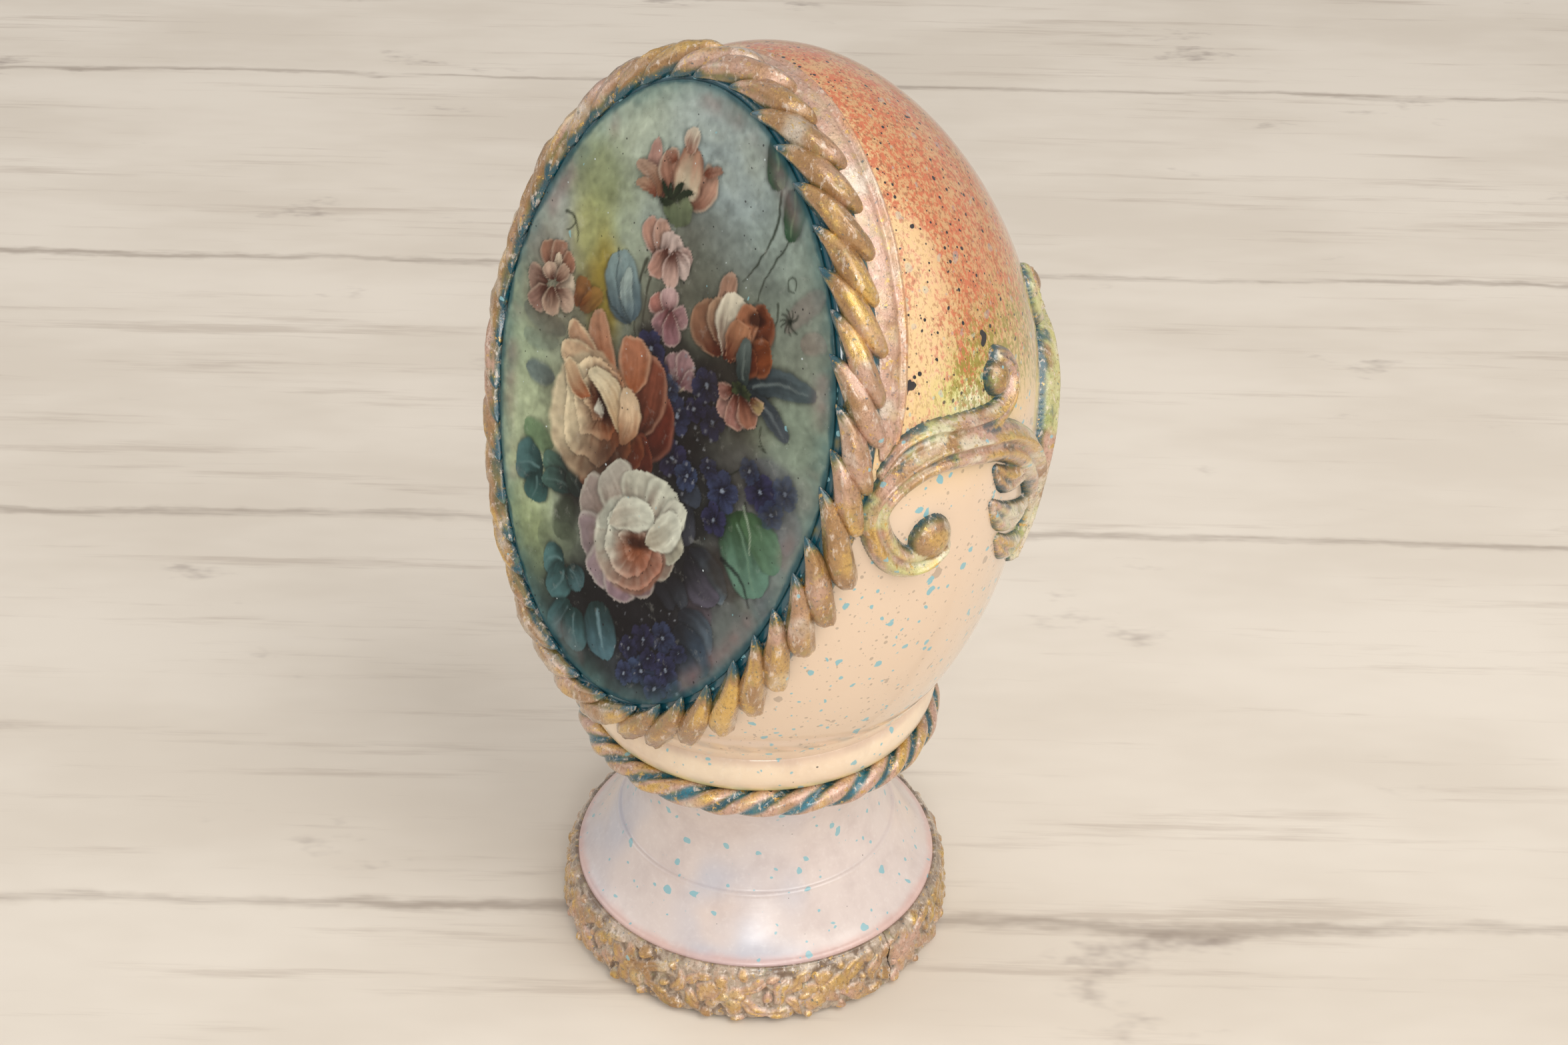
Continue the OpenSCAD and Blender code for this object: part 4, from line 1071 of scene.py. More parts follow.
def scroll_casting(name, back, left, seed):
    """One casting. The back ones are mirrored about a bearing and the left ones in X."""
    bearing, z, height, crest, balls = scroll_relief()
    if back:
        bearing = 2 * MIRROR_BEARING - bearing
    spots = on_egg(bearing, z)
    up = unit(egg_gradient(spots))
    outer = spots + up * np.maximum(height, SCROLL_DIP)[..., None]
    inner = spots - up * SCROLL_SINK
    high = height > SCROLL_KEEP
    keep = high[:-1, :-1] | high[1:, :-1] | high[:-1, 1:] | high[1:, 1:]
    keep[1:, 1:] |= keep[:-1, :-1] & ~keep[1:, :-1] & ~keep[:-1, 1:]
    keep[:-1, 1:] |= keep[1:, :-1] & ~keep[:-1, :-1] & ~keep[1:, 1:]
    points, faces, used = sheet_slab(outer, inner, keep)
    values = np.concatenate([crest.ravel(), crest.ravel() * 0])[used]
    knob = np.concatenate([balls.ravel(), balls.ravel()])[used]
    if left:
        points = points * np.array([-1, 1, 1])
    if left != back:
        faces = faces[:, ::-1]
    shade = np.clip(0.02 + 0.98 * values, 0, 1.1)
    colour, metal = casting_paint(points, shade, seed, 0.62)
    lime = smooth(0.0, 0.35, cloud(points, 7.0, seed + 21) + 0.25 * cloud(points, 1.6, seed + 22))
    cream = smooth(0.05, 0.4, cloud(points, 5.0, seed + 23) + 0.25 * cloud(points, 1.4, seed + 24))
    colour = mix(colour, LIME, 0.70 * lime * smooth(0.2, 0.5, shade))
    colour = mix(colour, tone(226, 218, 190), 0.75 * cream * smooth(0.4, 0.7, shade))
    teal = smooth(0.15, 0.4, cloud(points, 4.0, seed + 25) + 0.4 * cloud(points, 0.9, seed + 26))
    colour = mix(colour, TEAL, 0.8 * teal * smooth(0.95, 0.7, shade))
    metal = metal * (1 - 0.8 * np.maximum(lime, cream))
    knob_paint, knob_metal = casting_paint(points, shade, seed + 40, -0.2)
    colour = mix(colour, knob_paint, 0.8 * knob)
    metal = np.where(knob, knob_metal + 0.25, metal * 0.8)
    return make_mesh(name.replace("scroll", "painted_scroll"), points, [faces], colour, metal)


# ---------------------------------------------------------------- egg, collar and foot

def egg_wash(p):
    """Base colours of the egg and, as red and green shares, where orange-red and olive paint is
    sponged on: peach on top, orange on the flanks, olive by the scrolls, cream below."""
    bearing = np.abs(np.degrees(np.arctan2(p[:, 0], -p[:, 1])))
    z = p[:, 2]
    drift, fine = cloud(p, 24.0, 501), cloud(p, 6.0, 502)
    high = z + 4 * drift + 1.5 * fine
    wide = bearing + 8 * drift + 3 * fine
    colour = np.tile(tone(228, 202, 176), (len(p), 1))
    colour = mix(colour, tone(228, 200, 172), smooth(0.0, 0.8, drift))
    colour = mix(colour, tone(234, 198, 146), smooth(98, 108, high))
    colour = mix(colour, tone(236, 198, 144), 0.75 * smooth(126, 142, high))
    flank = smooth(80, 100, wide) * smooth(104, 120, high)
    colour = mix(colour, tone(204, 156, 108), 0.95 * flank)
    olive = smooth(80, 96, wide) * smooth(102, 109, high) * smooth(126, 114, high)
    colour = mix(colour, tone(206, 184, 120), 0.65 * olive)
    lime = np.exp(-(((bearing - 91) / 9) ** 2 + ((z - 113) / 4.0) ** 2))
    colour = mix(colour, tone(206, 208, 116), 0.85 * lime)
    cream = np.exp(-(((bearing - 93) / 5) ** 2 + ((z - 111.5) / 2.2) ** 2))
    colour = mix(colour, tone(240, 240, 206), 0.85 * cream)
    red = smooth(88, 98, wide) * smooth(134, 108, wide) * smooth(122, 129, high) * smooth(146, 138, high)
    red = red + 0.60 * flank + 0.75 * smooth(62, 76, wide) * smooth(103, 112, high)
    red = red + 0.18 * smooth(120, 140, high)
    shares = np.stack([red * (0.8 + 0.4 * fine),
                       olive * 0.9 + 0.6 * lime * (1 - cream) + 0.25 * flank * smooth(130, 116, high),
                       smooth(116, 104, high)], 1)
    return colour, shares


def egg_shell():
    """Rings of the egg's profile from the flat bottom in the collar to the crown. Points past
    the cut are dropped onto its plane: p - max(0, (p - middle) . normal) normal."""
    rows, turns = EGG_GRID
    low = math.asin((DISH_Z + 0.2 - BELLY_Z) / EGG_LOWER)
    a = np.linspace(low, np.pi / 2, rows + 1)[:-1]
    z = BELLY_Z + np.where(a > 0, EGG_UPPER, EGG_LOWER) * np.sin(a)
    turn = np.linspace(0, 2 * np.pi, turns, endpoint=False)
    r = egg_radius(z)[:, None]
    ring = np.stack([r * np.sin(turn), -r * np.cos(turn), z[:, None] + 0 * turn], -1).reshape(-1, 3)
    points = np.concatenate([ring, [[0, 0, z[0]], [0, 0, BELLY_Z + EGG_UPPER]]])
    colour, shares = egg_wash(points)
    past = (points - CUT_MIDDLE) @ CUT_NORMAL
    under_rope = smooth(-4.6, -3.2, past + 0.8 * cloud(points, 4.0, 505))
    colour = mix(colour, mix(OLIVE, TEAL, smooth(-0.9, -0.3, cloud(points, 3.0, 506))), under_rope)
    shares = mix(shares, np.array([0, 0, 1.0]), under_rope)
    points = points - np.maximum(past, 0)[:, None] * CUT_NORMAL
    quads, fans = tube_faces(rows, turns)
    egg = make_mesh("painted_egg", points, [quads[:, ::-1], fans[:, ::-1]], colour)
    colour_attribute(egg.data, "sponge", shares)
    return egg


def cup_wash(p):
    colour = mix(tone(244, 224, 196), tone(236, 212, 184), smooth(-0.2, 0.6, cloud(p, 12.0, 511)))
    # Painted shade: the top 1.6 mm of the collar, in the crease where the egg sits, is darkened to a dusky
    # pink.
    edge = smooth(COLLAR_TOP - 1.6, COLLAR_TOP - 0.2, p[:, 2] + 0.4 * cloud(p, 3.0, 512))
    low = smooth(COLLAR_BOTTOM + 6.2, COLLAR_BOTTOM + 4.6, p[:, 2] + 0.5 * cloud(p, 2.5, 513))
    colour = mix(colour, tone(206, 176, 158), 0.5 * edge)
    return mix(colour, tone(214, 206, 120), 0.75 * low)


def collar():
    """The dish that holds the egg: a recess for its rope trim, a bulging wall, and a rim."""
    recess_r, recess_top = COLLAR_R - TRIM_RECESS, COLLAR_BOTTOM + 2 * TRIM_R
    rim_r = float(egg_radius(np.array(COLLAR_TOP)))
    s = np.linspace(0, 1, 40)
    wall = np.stack([rim_r - (1 - s) * 0.6 + (COLLAR_R - rim_r) * np.sin(np.pi * s) ** 0.8,
                     recess_top + (COLLAR_TOP - recess_top) * s], 1)
    lip = np.array([[rim_r - 0.15, COLLAR_TOP + 0.12], [rim_r - 0.5, COLLAR_TOP - 0.1]])
    z = np.linspace(COLLAR_TOP - 0.6, DISH_Z, 10)
    dish = np.stack([egg_radius(z), z], 1)
    profile = np.concatenate([[[0, COLLAR_BOTTOM], [recess_r, COLLAR_BOTTOM], [recess_r, recess_top - 0.3]],
                              wall, lip, dish, [[0, DISH_Z]]])
    return lathe("painted_collar", profile, 256, cup_wash)


def foot_wash(p):
    bearing = np.degrees(np.arctan2(p[:, 0], -p[:, 1]))
    # Greyer, cooler paint in broad random patches, plus painted shade: the cosine term greys and darkens
    # the side at bearing -20, the left as the camera sees it, away from the window lamp.
    grey_tint_and_shade = smooth(0.0, 0.7, cloud(p, 20.0, 521) + 0.5 * np.cos(np.radians(bearing + 20)))
    colour = mix(tone(218, 204, 198), tone(196, 194, 202), grey_tint_and_shade)
    colour = mix(colour, tone(228, 206, 190), smooth(0.1, 0.8, cloud(p, 14.0, 522)))
    edge = np.hypot(p[:, 0], p[:, 1]) + 0.5 * cloud(p, 2.5, 523)
    return mix(colour, tone(216, 170, 158), 0.6 * smooth(FOOT_R - 1.6, FOOT_R - 0.2, edge))


def pedestal_turning():
    """A bell foot: rim, sloping shoulder, a small rounded step, then a cove up to the collar."""
    s = np.linspace(0, 1, 34)[1:]
    shoulder = np.stack([FOOT_R - 0.5 + (STEP_R - FOOT_R + 0.5) * s,
                         FOOT_EDGE_Z + (STEP_Z - FOOT_EDGE_Z) * s ** 1.35], 1)
    a = np.linspace(0, np.pi / 2, 7)[1:]
    step = np.stack([STEP_R - 0.7 * (1 - np.cos(a)), STEP_Z + 0.5 * np.sin(a)], 1)
    s = np.linspace(0, 1, 60)
    base_r, top_r = STEP_R - 0.7, COVE_TOP_R
    cove = np.stack([base_r + (top_r - base_r) * s - (base_r / 2 + top_r / 2 - NECK_R) * np.sin(np.pi * s),
                     STEP_Z + 0.5 + (COLLAR_BOTTOM - STEP_Z - 0.5) * s], 1)
    rim = np.array([[0, 0], [FOOT_R - 0.6, 0], [FOOT_R, 0.6], [FOOT_R, 3], [FOOT_R, 7],
                    [FOOT_R, FOOT_EDGE_Z - 0.6], [FOOT_R - 0.15, FOOT_EDGE_Z - 0.2],
                    [FOOT_R - 0.5, FOOT_EDGE_Z]])
    profile = np.concatenate([rim, shoulder, step, cove[1:], [[0, COLLAR_BOTTOM]]])
    return lathe("painted_pedestal", profile, 288, foot_wash)


def collar_trim():
    """Three strands twisted round the collar and closed into a ring. The section's radius is
    0.68 + 0.28 |cos w|^0.8 of the full one, where w is 1.5 (section angle - twist)."""
    turns, around = TRIM_GRID
    ring_r, ring_z = COLLAR_R - 2.2, COLLAR_BOTTOM + TRIM_R
    a = np.linspace(0, 2 * np.pi, turns, endpoint=False)[:, None]
    b = np.linspace(0, 2 * np.pi, around, endpoint=False)
    spots = np.stack([COLLAR_R * np.sin(a) + 0 * b, COLLAR_R * np.cos(a) + 0 * b, np.sin(b) + 0 * a], -1)
    strand = np.abs(np.cos(1.5 * (b - TRIM_TWISTS * a) + 0.5 * cloud(spots, 7.0, 533)))
    size = TRIM_R * (0.68 + 0.28 * strand ** 0.8) * (1 + 0.07 * np.sin(9 * a) * np.sin(7 * a + 1 + b))
    r = ring_r + 0.75 + size * np.cos(b)
    points = np.stack([r * np.sin(a), -r * np.cos(a), ring_z + size * np.sin(b)], -1).reshape(-1, 3)
    crest = strand.ravel() ** 1.4 * 1.02
    colour, metal = casting_paint(points, crest, 531, 0.75)
    blue = smooth(0.0, 0.5, cloud(points, 5.0, 535)) * smooth(0.9, 0.3, crest)
    colour = mix(colour, tone(24, 118, 140), 0.8 * blue)
    quads = grid_faces(turns, around, wrap_rows=True, wrap_columns=True)
    return make_mesh("painted_collar_rope", points, [quads], colour, metal)


# The foot's moulding: how often its motif repeats and, inside one motif, the rosette's middle,
# the curled leaves (place, turn, half length, half width) and the berries (place, radius).
BAND_MOTIFS = 12
BAND_ROSE = (-4.2, 0.2)
BAND_LEAVES = [(0.9, 2.3, 0.55, 3.0, 1.25), (1.2, -2.2, -0.5, 3.1, 1.3), (5.0, 0.9, 1.2, 2.6, 1.2),
               (4.6, -3.2, 0.1, 2.2, 1.0), (7.6, 2.6, 0.9, 2.2, 1.1), (7.4, -1.8, 2.3, 2.4, 1.15),
               (-7.6, 3.4, 0.2, 1.9, 0.9)]
BAND_BERRIES = [(-1.2, 4.0, 1.0), (-0.9, 0.2, 0.95), (3.9, 3.6, 1.0), (-6.9, -3.7, 1.0),
                (-1.6, -3.9, 0.95), (2.7, 0.1, 0.8), (-7.4, -0.4, 0.9)]


def band_relief(run, z):
    """Height of the foot's moulding, from 0 to 1. Each of the motifs round the foot has a
    five-petal rosette with a bead, curled leaves with a vein, and a few berries."""
    cell = 2 * math.pi * BAND_RUN_R / BAND_MOTIFS
    warp = 0.35 * np.stack([np.sin(run * 0.9 + z), np.sin(run * 0.63 - 1.3 * z + 2)])
    x = np.mod(run + warp[0], cell) - cell / 2
    y = z - 5.0 + warp[1]

    def bump(cx, cy, rx, ry, turn=0.0):
        c, s = math.cos(turn), math.sin(turn)
        u = ((x - cx) * c + (y - cy) * s) / rx
        v = ((y - cy) * c - (x - cx) * s) / ry
        return np.sqrt(np.clip(1 - u * u - v * v, 0, 1)) ** 0.8

    spots = np.stack([run + 0 * z, z + 0 * run, 0 * run + 0 * z], -1)
    folds = 1 - np.abs(cloud(spots, 2.6, 551, 2))
    height = 0.30 * folds ** 2
    rose_x, rose_y = BAND_ROSE
    for k in range(5):
        a = math.radians(90 + 72 * k)
        petal = bump(rose_x + 2.3 * math.cos(a), rose_y + 2.2 * math.sin(a), 1.9, 1.35, a)
        height = np.maximum(height, 0.78 * petal)
    height = np.maximum(height, bump(rose_x, rose_y, 1.1, 1.1))
    for cx, cy, turn, size, wide in BAND_LEAVES:
        c, s = math.cos(turn), math.sin(turn)
        vein = np.exp(-(((y - cy) * c - (x - cx) * s) / 0.28) ** 2)
        height = np.maximum(height, bump(cx, cy, size, wide, turn) * (0.86 - 0.28 * vein))
    for cx, cy, r in BAND_BERRIES:
        height = np.maximum(height, 0.9 * bump(cx, cy, r, r))
    return height * (0.66 + 0.34 * folds) + 0.13 * cloud(spots, 0.9, 553, 2)


def foot_moulding(name, start, seed):
    """Half of the band: its outer face is the foot's radius, plus a body that thins upwards,
    plus the relief. The section is closed along the foot's wall."""
    turns, across = BAND_GRID
    a = np.radians(np.linspace(start, start + BAND_TURN, turns))[:, None]
    z = np.linspace(BAND_BOTTOM_Z, FOOT_EDGE_Z - 0.5, across)
    run = a * BAND_RUN_R
    share = (z - z[0]) / (z[-1] - z[0])
    rounding = np.clip(np.sin(np.pi * np.clip(share, 0.03, 0.97)) * 4, 0, 1) ** 0.5
    body = BAND_THICKNESS * (0.62 - 0.36 * share) * rounding
    relief = band_relief(run + 0 * z, z + 0 * a)
    warp = 0.10 * cloud(np.stack([run + 0 * z, z + 0 * run, 0 * run + 0 * z], -1), 3.0, seed)
    edge_fade = smooth(0.0, 0.06, share) * smooth(1.0, 0.93, share)
    r = FOOT_R + body + (BAND_RELIEF * relief + warp) * edge_fade * (1 - 0.1 * share)
    inner = np.full((turns, 2), FOOT_R - 0.3)
    r = np.concatenate([r, inner], 1)
    z = np.concatenate([z, [z[-1] - 0.2, z[0] + 0.2]])
    points = np.stack([r * np.sin(a), -r * np.cos(a), z + 0 * a], -1)
    middle = points.mean(1)
    points = np.concatenate([points.reshape(-1, 3), middle[:1], middle[-1:]])
    crest = np.concatenate([np.concatenate([relief * 1.1, np.zeros((turns, 2))], 1).ravel(), [0, 0]])
    quads, fans = tube_faces(turns, across + 2)
    colour, metal = casting_paint(points, 0.20 + 0.80 * crest, seed, 0.40, tone(120, 98, 80),
                                  tone(184, 166, 146))
    rub = smooth(0.40, 0.75, crest) * smooth(-0.3, 0.3, cloud(points, 7.0, seed + 3))
    return make_mesh(name, points, [quads, fans], mix(colour, tone(220, 184, 104), 0.6 * rub),
                     metal + 0.4 * rub)


# ---------------------------------------------------------------- materials

class Nodes:
    """Short hand for a material's nodes. `place` is the object coordinate in millimetres."""

    def __init__(self, name):
        self.material = bpy.data.materials.new(name)
        self.material.use_nodes = True
        self.tree = self.material.node_tree
        self.shader = self.tree.nodes["Principled BSDF"]
        place = self.tree.nodes.new("ShaderNodeTexCoord").outputs["Object"]
        self.place = self.vector("SCALE", place, scale=1000)

    def put(self, socket, value):
        if isinstance(value, bpy.types.NodeSocket):
            self.tree.links.new(value, socket)
        else:
            socket.default_value = value

    def vector(self, kind, a, b=(0, 0, 0), scale=1.0):
        node = self.tree.nodes.new("ShaderNodeVectorMath")
        node.operation = kind
        self.put(node.inputs[0], a)
        self.put(node.inputs[1], b)
        node.inputs[3].default_value = scale
        return node.outputs[0]

    def math(self, kind, a, b=0.0):
        node = self.tree.nodes.new("ShaderNodeMath")
        node.operation = kind
        self.put(node.inputs[0], a)
        self.put(node.inputs[1], b)
        return node.outputs[0]

    def times(self, a, b):
        return self.math("MULTIPLY", a, b)

    def plus(self, a, b):
        return self.math("ADD", a, b)

    def less(self, a, b):
        return self.math("SUBTRACT", a, b)

    def most(self, a, b):
        return self.math("MAXIMUM", a, b)

    def rest(self, share):
        return self.less(1.0, share)

    def step(self, value, low, high, start=0.0, stop=1.0):
        node = self.tree.nodes.new("ShaderNodeMapRange")
        node.interpolation_type = "SMOOTHSTEP"
        for name, item in [("Value", value), ("From Min", low), ("From Max", high), ("To Min", start),
                           ("To Max", stop)]:
            self.put(node.inputs[name], item)
        return node.outputs["Result"]

    def noise(self, size, detail=3.0, rough=0.5, stretch=(1, 1, 1), shift=0.0):
        """Noise from 0 to 1 whose grain is about this many millimetres."""
        node = self.tree.nodes.new("ShaderNodeTexNoise")
        spot = self.vector("MULTIPLY", self.place, stretch)
        spot = self.vector("ADD", spot, (shift, shift * 0.7, shift * 0.3))
        self.put(node.inputs["Vector"], spot)
        node.inputs["Scale"].default_value = 1.0 / size
        node.inputs["Detail"].default_value = detail
        node.inputs["Roughness"].default_value = rough
        return node.outputs["Fac"]

    def value(self, name):
        node = self.tree.nodes.new("ShaderNodeAttribute")
        node.attribute_name = name
        return node

    def blend(self, a, b, share, kind="MIX"):
        node = self.tree.nodes.new("ShaderNodeMix")
        node.data_type = "RGBA"
        node.blend_type = kind
        node.clamp_factor = True
        self.put(node.inputs["Factor"], share)
        for socket, colour in ((node.inputs[6], a), (node.inputs[7], b)):
            self.put(socket, colour if isinstance(colour, bpy.types.NodeSocket) else (*colour, 1.0))
        return node.outputs[2]

    def layer(self, under, paint, noise, low, high, share):
        """Paint where the noise is over `high`, fading out down to `low`."""
        return self.blend(under, paint, self.step(noise, low, high, 0, share))

    def drops(self, cell, radius, share, shift, smear=0.5):
        """Splashes: one possible drop in each cell, `share` of them present, each with its own
        size up to `radius`, smeared a little by noise."""
        wobble = self.tree.nodes.new("ShaderNodeTexNoise")
        self.put(wobble.inputs["Vector"], self.place)
        wobble.inputs["Scale"].default_value = 0.45
        bent = self.vector("SCALE", wobble.outputs["Color"], scale=cell * smear)
        spot = self.vector("ADD", self.vector("ADD", self.place, bent), (shift, shift * 0.6, shift * 0.37))
        node = self.tree.nodes.new("ShaderNodeTexVoronoi")
        self.put(node.inputs["Vector"], spot)
        node.inputs["Scale"].default_value = 1.0 / cell
        parts = self.tree.nodes.new("ShaderNodeSeparateColor")
        self.put(parts.inputs[0], node.outputs["Color"])
        size = self.times(self.math("POWER", parts.outputs[0], 1.6), radius / cell)
        here = self.math("LESS_THAN", parts.outputs[1], share)
        inside = self.step(self.less(node.outputs["Distance"], size), 0.012 / cell * 2,
                           -0.03 / cell * 2)
        return self.times(inside, here)

    def bump(self, height, depth, strength):
        """Relief this many millimetres deep."""
        node = self.tree.nodes.new("ShaderNodeBump")
        node.inputs["Strength"].default_value = strength
        node.inputs["Distance"].default_value = depth * MM
        self.put(node.inputs["Height"], height)
        return node.outputs["Normal"]

    def finish(self, colour, rough, normal=None, metal=0.0, coat=1.0, coat_rough=0.06, coat_normal=None):
        self.put(self.shader.inputs["Base Color"], colour)
        self.put(self.shader.inputs["Roughness"], rough)
        self.put(self.shader.inputs["Metallic"], metal)
        self.shader.inputs["Coat Weight"].default_value = coat
        self.shader.inputs["Coat Roughness"].default_value = coat_rough
        self.shader.inputs["Coat IOR"].default_value = 1.5
        if normal is not None:
            self.put(self.shader.inputs["Normal"], normal)
        if coat_normal is not None:
            self.put(self.shader.inputs["Coat Normal"], coat_normal)
        return self.material


DROP_BLUE = tone(134, 186, 196)
SPECK = tone(34, 30, 34)


def sponged_egg():
    """Lacquered egg: peach base, orange-red and olive paint sponged on in fine strokes, black
    specks everywhere, and light-blue drops that gather low down."""
    n = Nodes("sponged_egg")
    sponge = n.tree.nodes.new("ShaderNodeSeparateColor")
    n.put(sponge.inputs[0], n.value("sponge").outputs["Color"])
    fine = n.noise(0.6, 6, 0.72, (1, 1, 0.5))
    coarse = n.noise(3.0, 5, 0.65, shift=20)
    both = n.plus(n.times(fine, 0.70), n.times(coarse, 0.30))
    colour = n.value("paint").outputs["Color"]
    pale = n.step(both, 0.50, 0.58, 0.0, 0.75)
    busy = n.rest(sponge.outputs[2])
    colour = n.blend(colour, tone(250, 222, 186), n.times(pale, busy))
    red_line = n.less(0.62, n.times(sponge.outputs[0], 0.13))
    red = n.step(n.less(both, red_line), -0.035, 0.06, 0.0, 0.9)
    colour = n.blend(colour, tone(196, 92, 50), n.times(red, n.math("POWER", sponge.outputs[0], 0.6)))
    brown = n.noise(0.5, 5, 0.72, (1, 1, 0.5), 50)
    brown = n.times(n.step(brown, 0.53, 0.59), n.times(sponge.outputs[0], 0.75))
    colour = n.blend(colour, tone(150, 92, 56), brown)
    olive = n.noise(0.7, 5, 0.75, (1, 1, 0.5), 80)
    olive_line = n.less(0.62, n.times(sponge.outputs[1], 0.14))
    olive = n.step(n.less(olive, olive_line), -0.035, 0.07, 0.0, 0.85)
    colour = n.blend(colour, tone(140, 132, 44), n.times(olive, n.math("POWER", sponge.outputs[1], 0.6)))
    specks = n.most(n.drops(1.05, 0.34, 0.80, 3), n.drops(3.8, 1.0, 0.40, 31, 0.8))
    specks = n.most(specks, n.drops(0.62, 0.18, 0.50, 45))
    colour = n.blend(colour, SPECK, n.times(specks, n.plus(0.35, n.times(busy, 0.65))))
    low = n.plus(0.25, n.times(sponge.outputs[2], 0.75))
    blue = n.most(n.drops(1.9, 0.72, 0.62, 11, 0.9), n.drops(1.1, 0.32, 0.40, 57, 0.9))
    colour = n.blend(colour, DROP_BLUE, n.times(blue, low))
    relief = n.plus(n.times(fine, 0.5), n.times(blue, 0.35))
    rough = n.step(coarse, 0.3, 0.7, 0.30, 0.46)
    return n.finish(colour, rough, n.bump(relief, 0.09, 0.5), coat_normal=n.bump(coarse, 0.03, 0.35))


def enamel(name, drop_share, gloss):
    """Pale lacquer on the collar and stand, with a soft sponged shade, fine brush lines round
    the turning, and light-blue and dark drops."""
    n = Nodes(name)
    shade = n.noise(7, 4, 0.6)
    fine = n.noise(0.9, 5, 0.65, shift=13)
    colour = n.blend(n.value("paint").outputs["Color"], (0.55, 0.48, 0.50),
                     n.step(shade, 0.42, 0.75, 0, 0.30), "MULTIPLY")
    colour = n.layer(colour, (1, 0.97, 0.93), fine, 0.5, 0.72, 0.12)
    blue = n.most(n.drops(2.1, 0.72, drop_share, 7, 0.9),
                  n.drops(1.2, 0.30, drop_share * 0.7, 41, 0.9))
    colour = n.blend(colour, DROP_BLUE, n.times(blue, 0.9))
    specks = n.most(n.drops(1.6, 0.24, 0.14, 19), n.drops(5.0, 0.7, 0.10, 23))
    colour = n.blend(colour, SPECK, n.times(specks, 0.85))
    lines = n.noise(0.8, 3, 0.6, (0.10, 0.10, 1.6), 5)
    relief = n.plus(n.times(lines, 0.5), n.times(blue, 0.5))
    rough = n.step(shade, 0.3, 0.7, 0.32, 0.46)
    return n.finish(colour, rough, n.bump(relief, 0.06, 0.5), coat=0.7, coat_rough=gloss,
                    coat_normal=n.bump(lines, 0.02, 0.35))


def varnished_print():
    """The paper picture under clear varnish: paper grain, pin-prick specks and a few drops."""
    n = Nodes("varnished_print")
    grain = n.noise(0.35, 4, 0.6)
    soft = n.noise(1.8, 4, 0.6, shift=9)
    colour = n.value("paint").outputs["Color"]
    colour = n.layer(colour, (0.02, 0.02, 0.02), grain, 0.60, 0.75, 0.25)
    colour = n.layer(colour, (0.8, 0.8, 0.72), soft, 0.58, 0.78, 0.10)
    specks = n.drops(1.15, 0.20, 0.55, 71)
    colour = n.blend(colour, SPECK, n.times(specks, 0.75))
    dust = n.drops(1.5, 0.17, 0.40, 83)
    colour = n.blend(colour, (0.62, 0.70, 0.72), n.times(dust, 0.8))
    blue = n.drops(2.8, 0.5, 0.16, 91, 0.9)
    colour = n.blend(colour, DROP_BLUE, n.times(blue, 0.7))
    rough = n.step(soft, 0.3, 0.7, 0.34, 0.46)
    n.shader.inputs["Specular IOR Level"].default_value = 0.12
    return n.finish(colour, rough, n.bump(grain, 0.03, 0.4), coat=0.12, coat_rough=0.08)


def moulding_finish(name, blue_drops, green):
    """Painted castings: the layered colour, washes of green, brown and cream, teal caught in the
    wrinkles, flecks of gold leaf, gloss varnish, and a few light-blue drops."""
    n = Nodes(name)
    fine = n.noise(0.5, 6, 0.70)
    soft = n.noise(2.4, 5, 0.65, shift=17)
    streak = n.noise(0.9, 5, 0.70, (1, 1, 0.45), 37)
    colour = n.value("paint").outputs["Color"]
    colour = n.layer(colour, tone(150, 160, 88), soft, 0.54, 0.68, green)
    colour = n.layer(colour, tone(120, 92, 66), fine, 0.52, 0.66, 0.60)
    colour = n.layer(colour, tone(238, 220, 204), streak, 0.54, 0.66, 0.65)
    wrinkle = n.noise(0.8, 6, 0.72, shift=61)
    teal = n.step(wrinkle, 0.60, 0.66, 0, 0.75)
    colour = n.blend(colour, TEAL, teal)
    leaf = n.step(n.noise(1.3, 6, 0.72, shift=29), 0.585, 0.635)
    colour = n.blend(colour, tone(226, 184, 104), n.times(leaf, 0.85))
    metal = n.times(n.value("metal").outputs["Fac"], n.step(fine, 0.30, 0.62, 0.55, 1.0))
    metal = n.most(metal, n.times(leaf, 0.9))
    metal = n.times(metal, n.rest(teal))
    blue = n.drops(2.0, 0.55, blue_drops, 27, 0.9)
    colour = n.blend(colour, DROP_BLUE, n.times(blue, 0.85))
    specks = n.drops(2.4, 0.4, 0.12, 87)
    colour = n.blend(colour, SPECK, specks)
    metal = n.times(metal, n.rest(n.most(blue, specks)))
    rough = n.step(soft, 0.3, 0.7, 0.20, 0.34)
    relief = n.plus(n.times(streak, 0.6), n.times(wrinkle, 0.5))
    return n.finish(colour, rough, n.bump(relief, 0.30, 0.8), metal, coat=1.0, coat_rough=0.05,
                    coat_normal=n.bump(relief, 0.10, 0.6))


def bare_wood():
    """The dowel's bare beech: rings stretched along the grain, and short dark flecks."""
    n = Nodes("beech_dowel")
    ring = n.noise(2.2, 4, 0.6, (1, 1, 0.06))
    fleck = n.noise(0.5, 3, 0.6, (1, 1, 0.15), 4)
    colour = n.blend(tone(222, 182, 132), tone(188, 140, 92), n.step(ring, 0.35, 0.65))
    colour = n.layer(colour, tone(140, 96, 60), fleck, 0.60, 0.72, 0.6)
    return n.finish(colour, 0.6, n.bump(ring, 0.1, 0.5), coat=0.0, coat_rough=0.3)


# ---------------------------------------------------------------- the scene around it

CAMERA_TURN = math.radians(45.64)
CAMERA_RISE = math.radians(33.88)
CAMERA_ROLL = math.radians(1.35)
CAMERA_DISTANCE = 352.1
CAMERA_ASIDE = 3.43
CAMERA_AIM_Z = 73.87
LENS = 53.5
SENSOR = 36
CLIP_START = 0.01


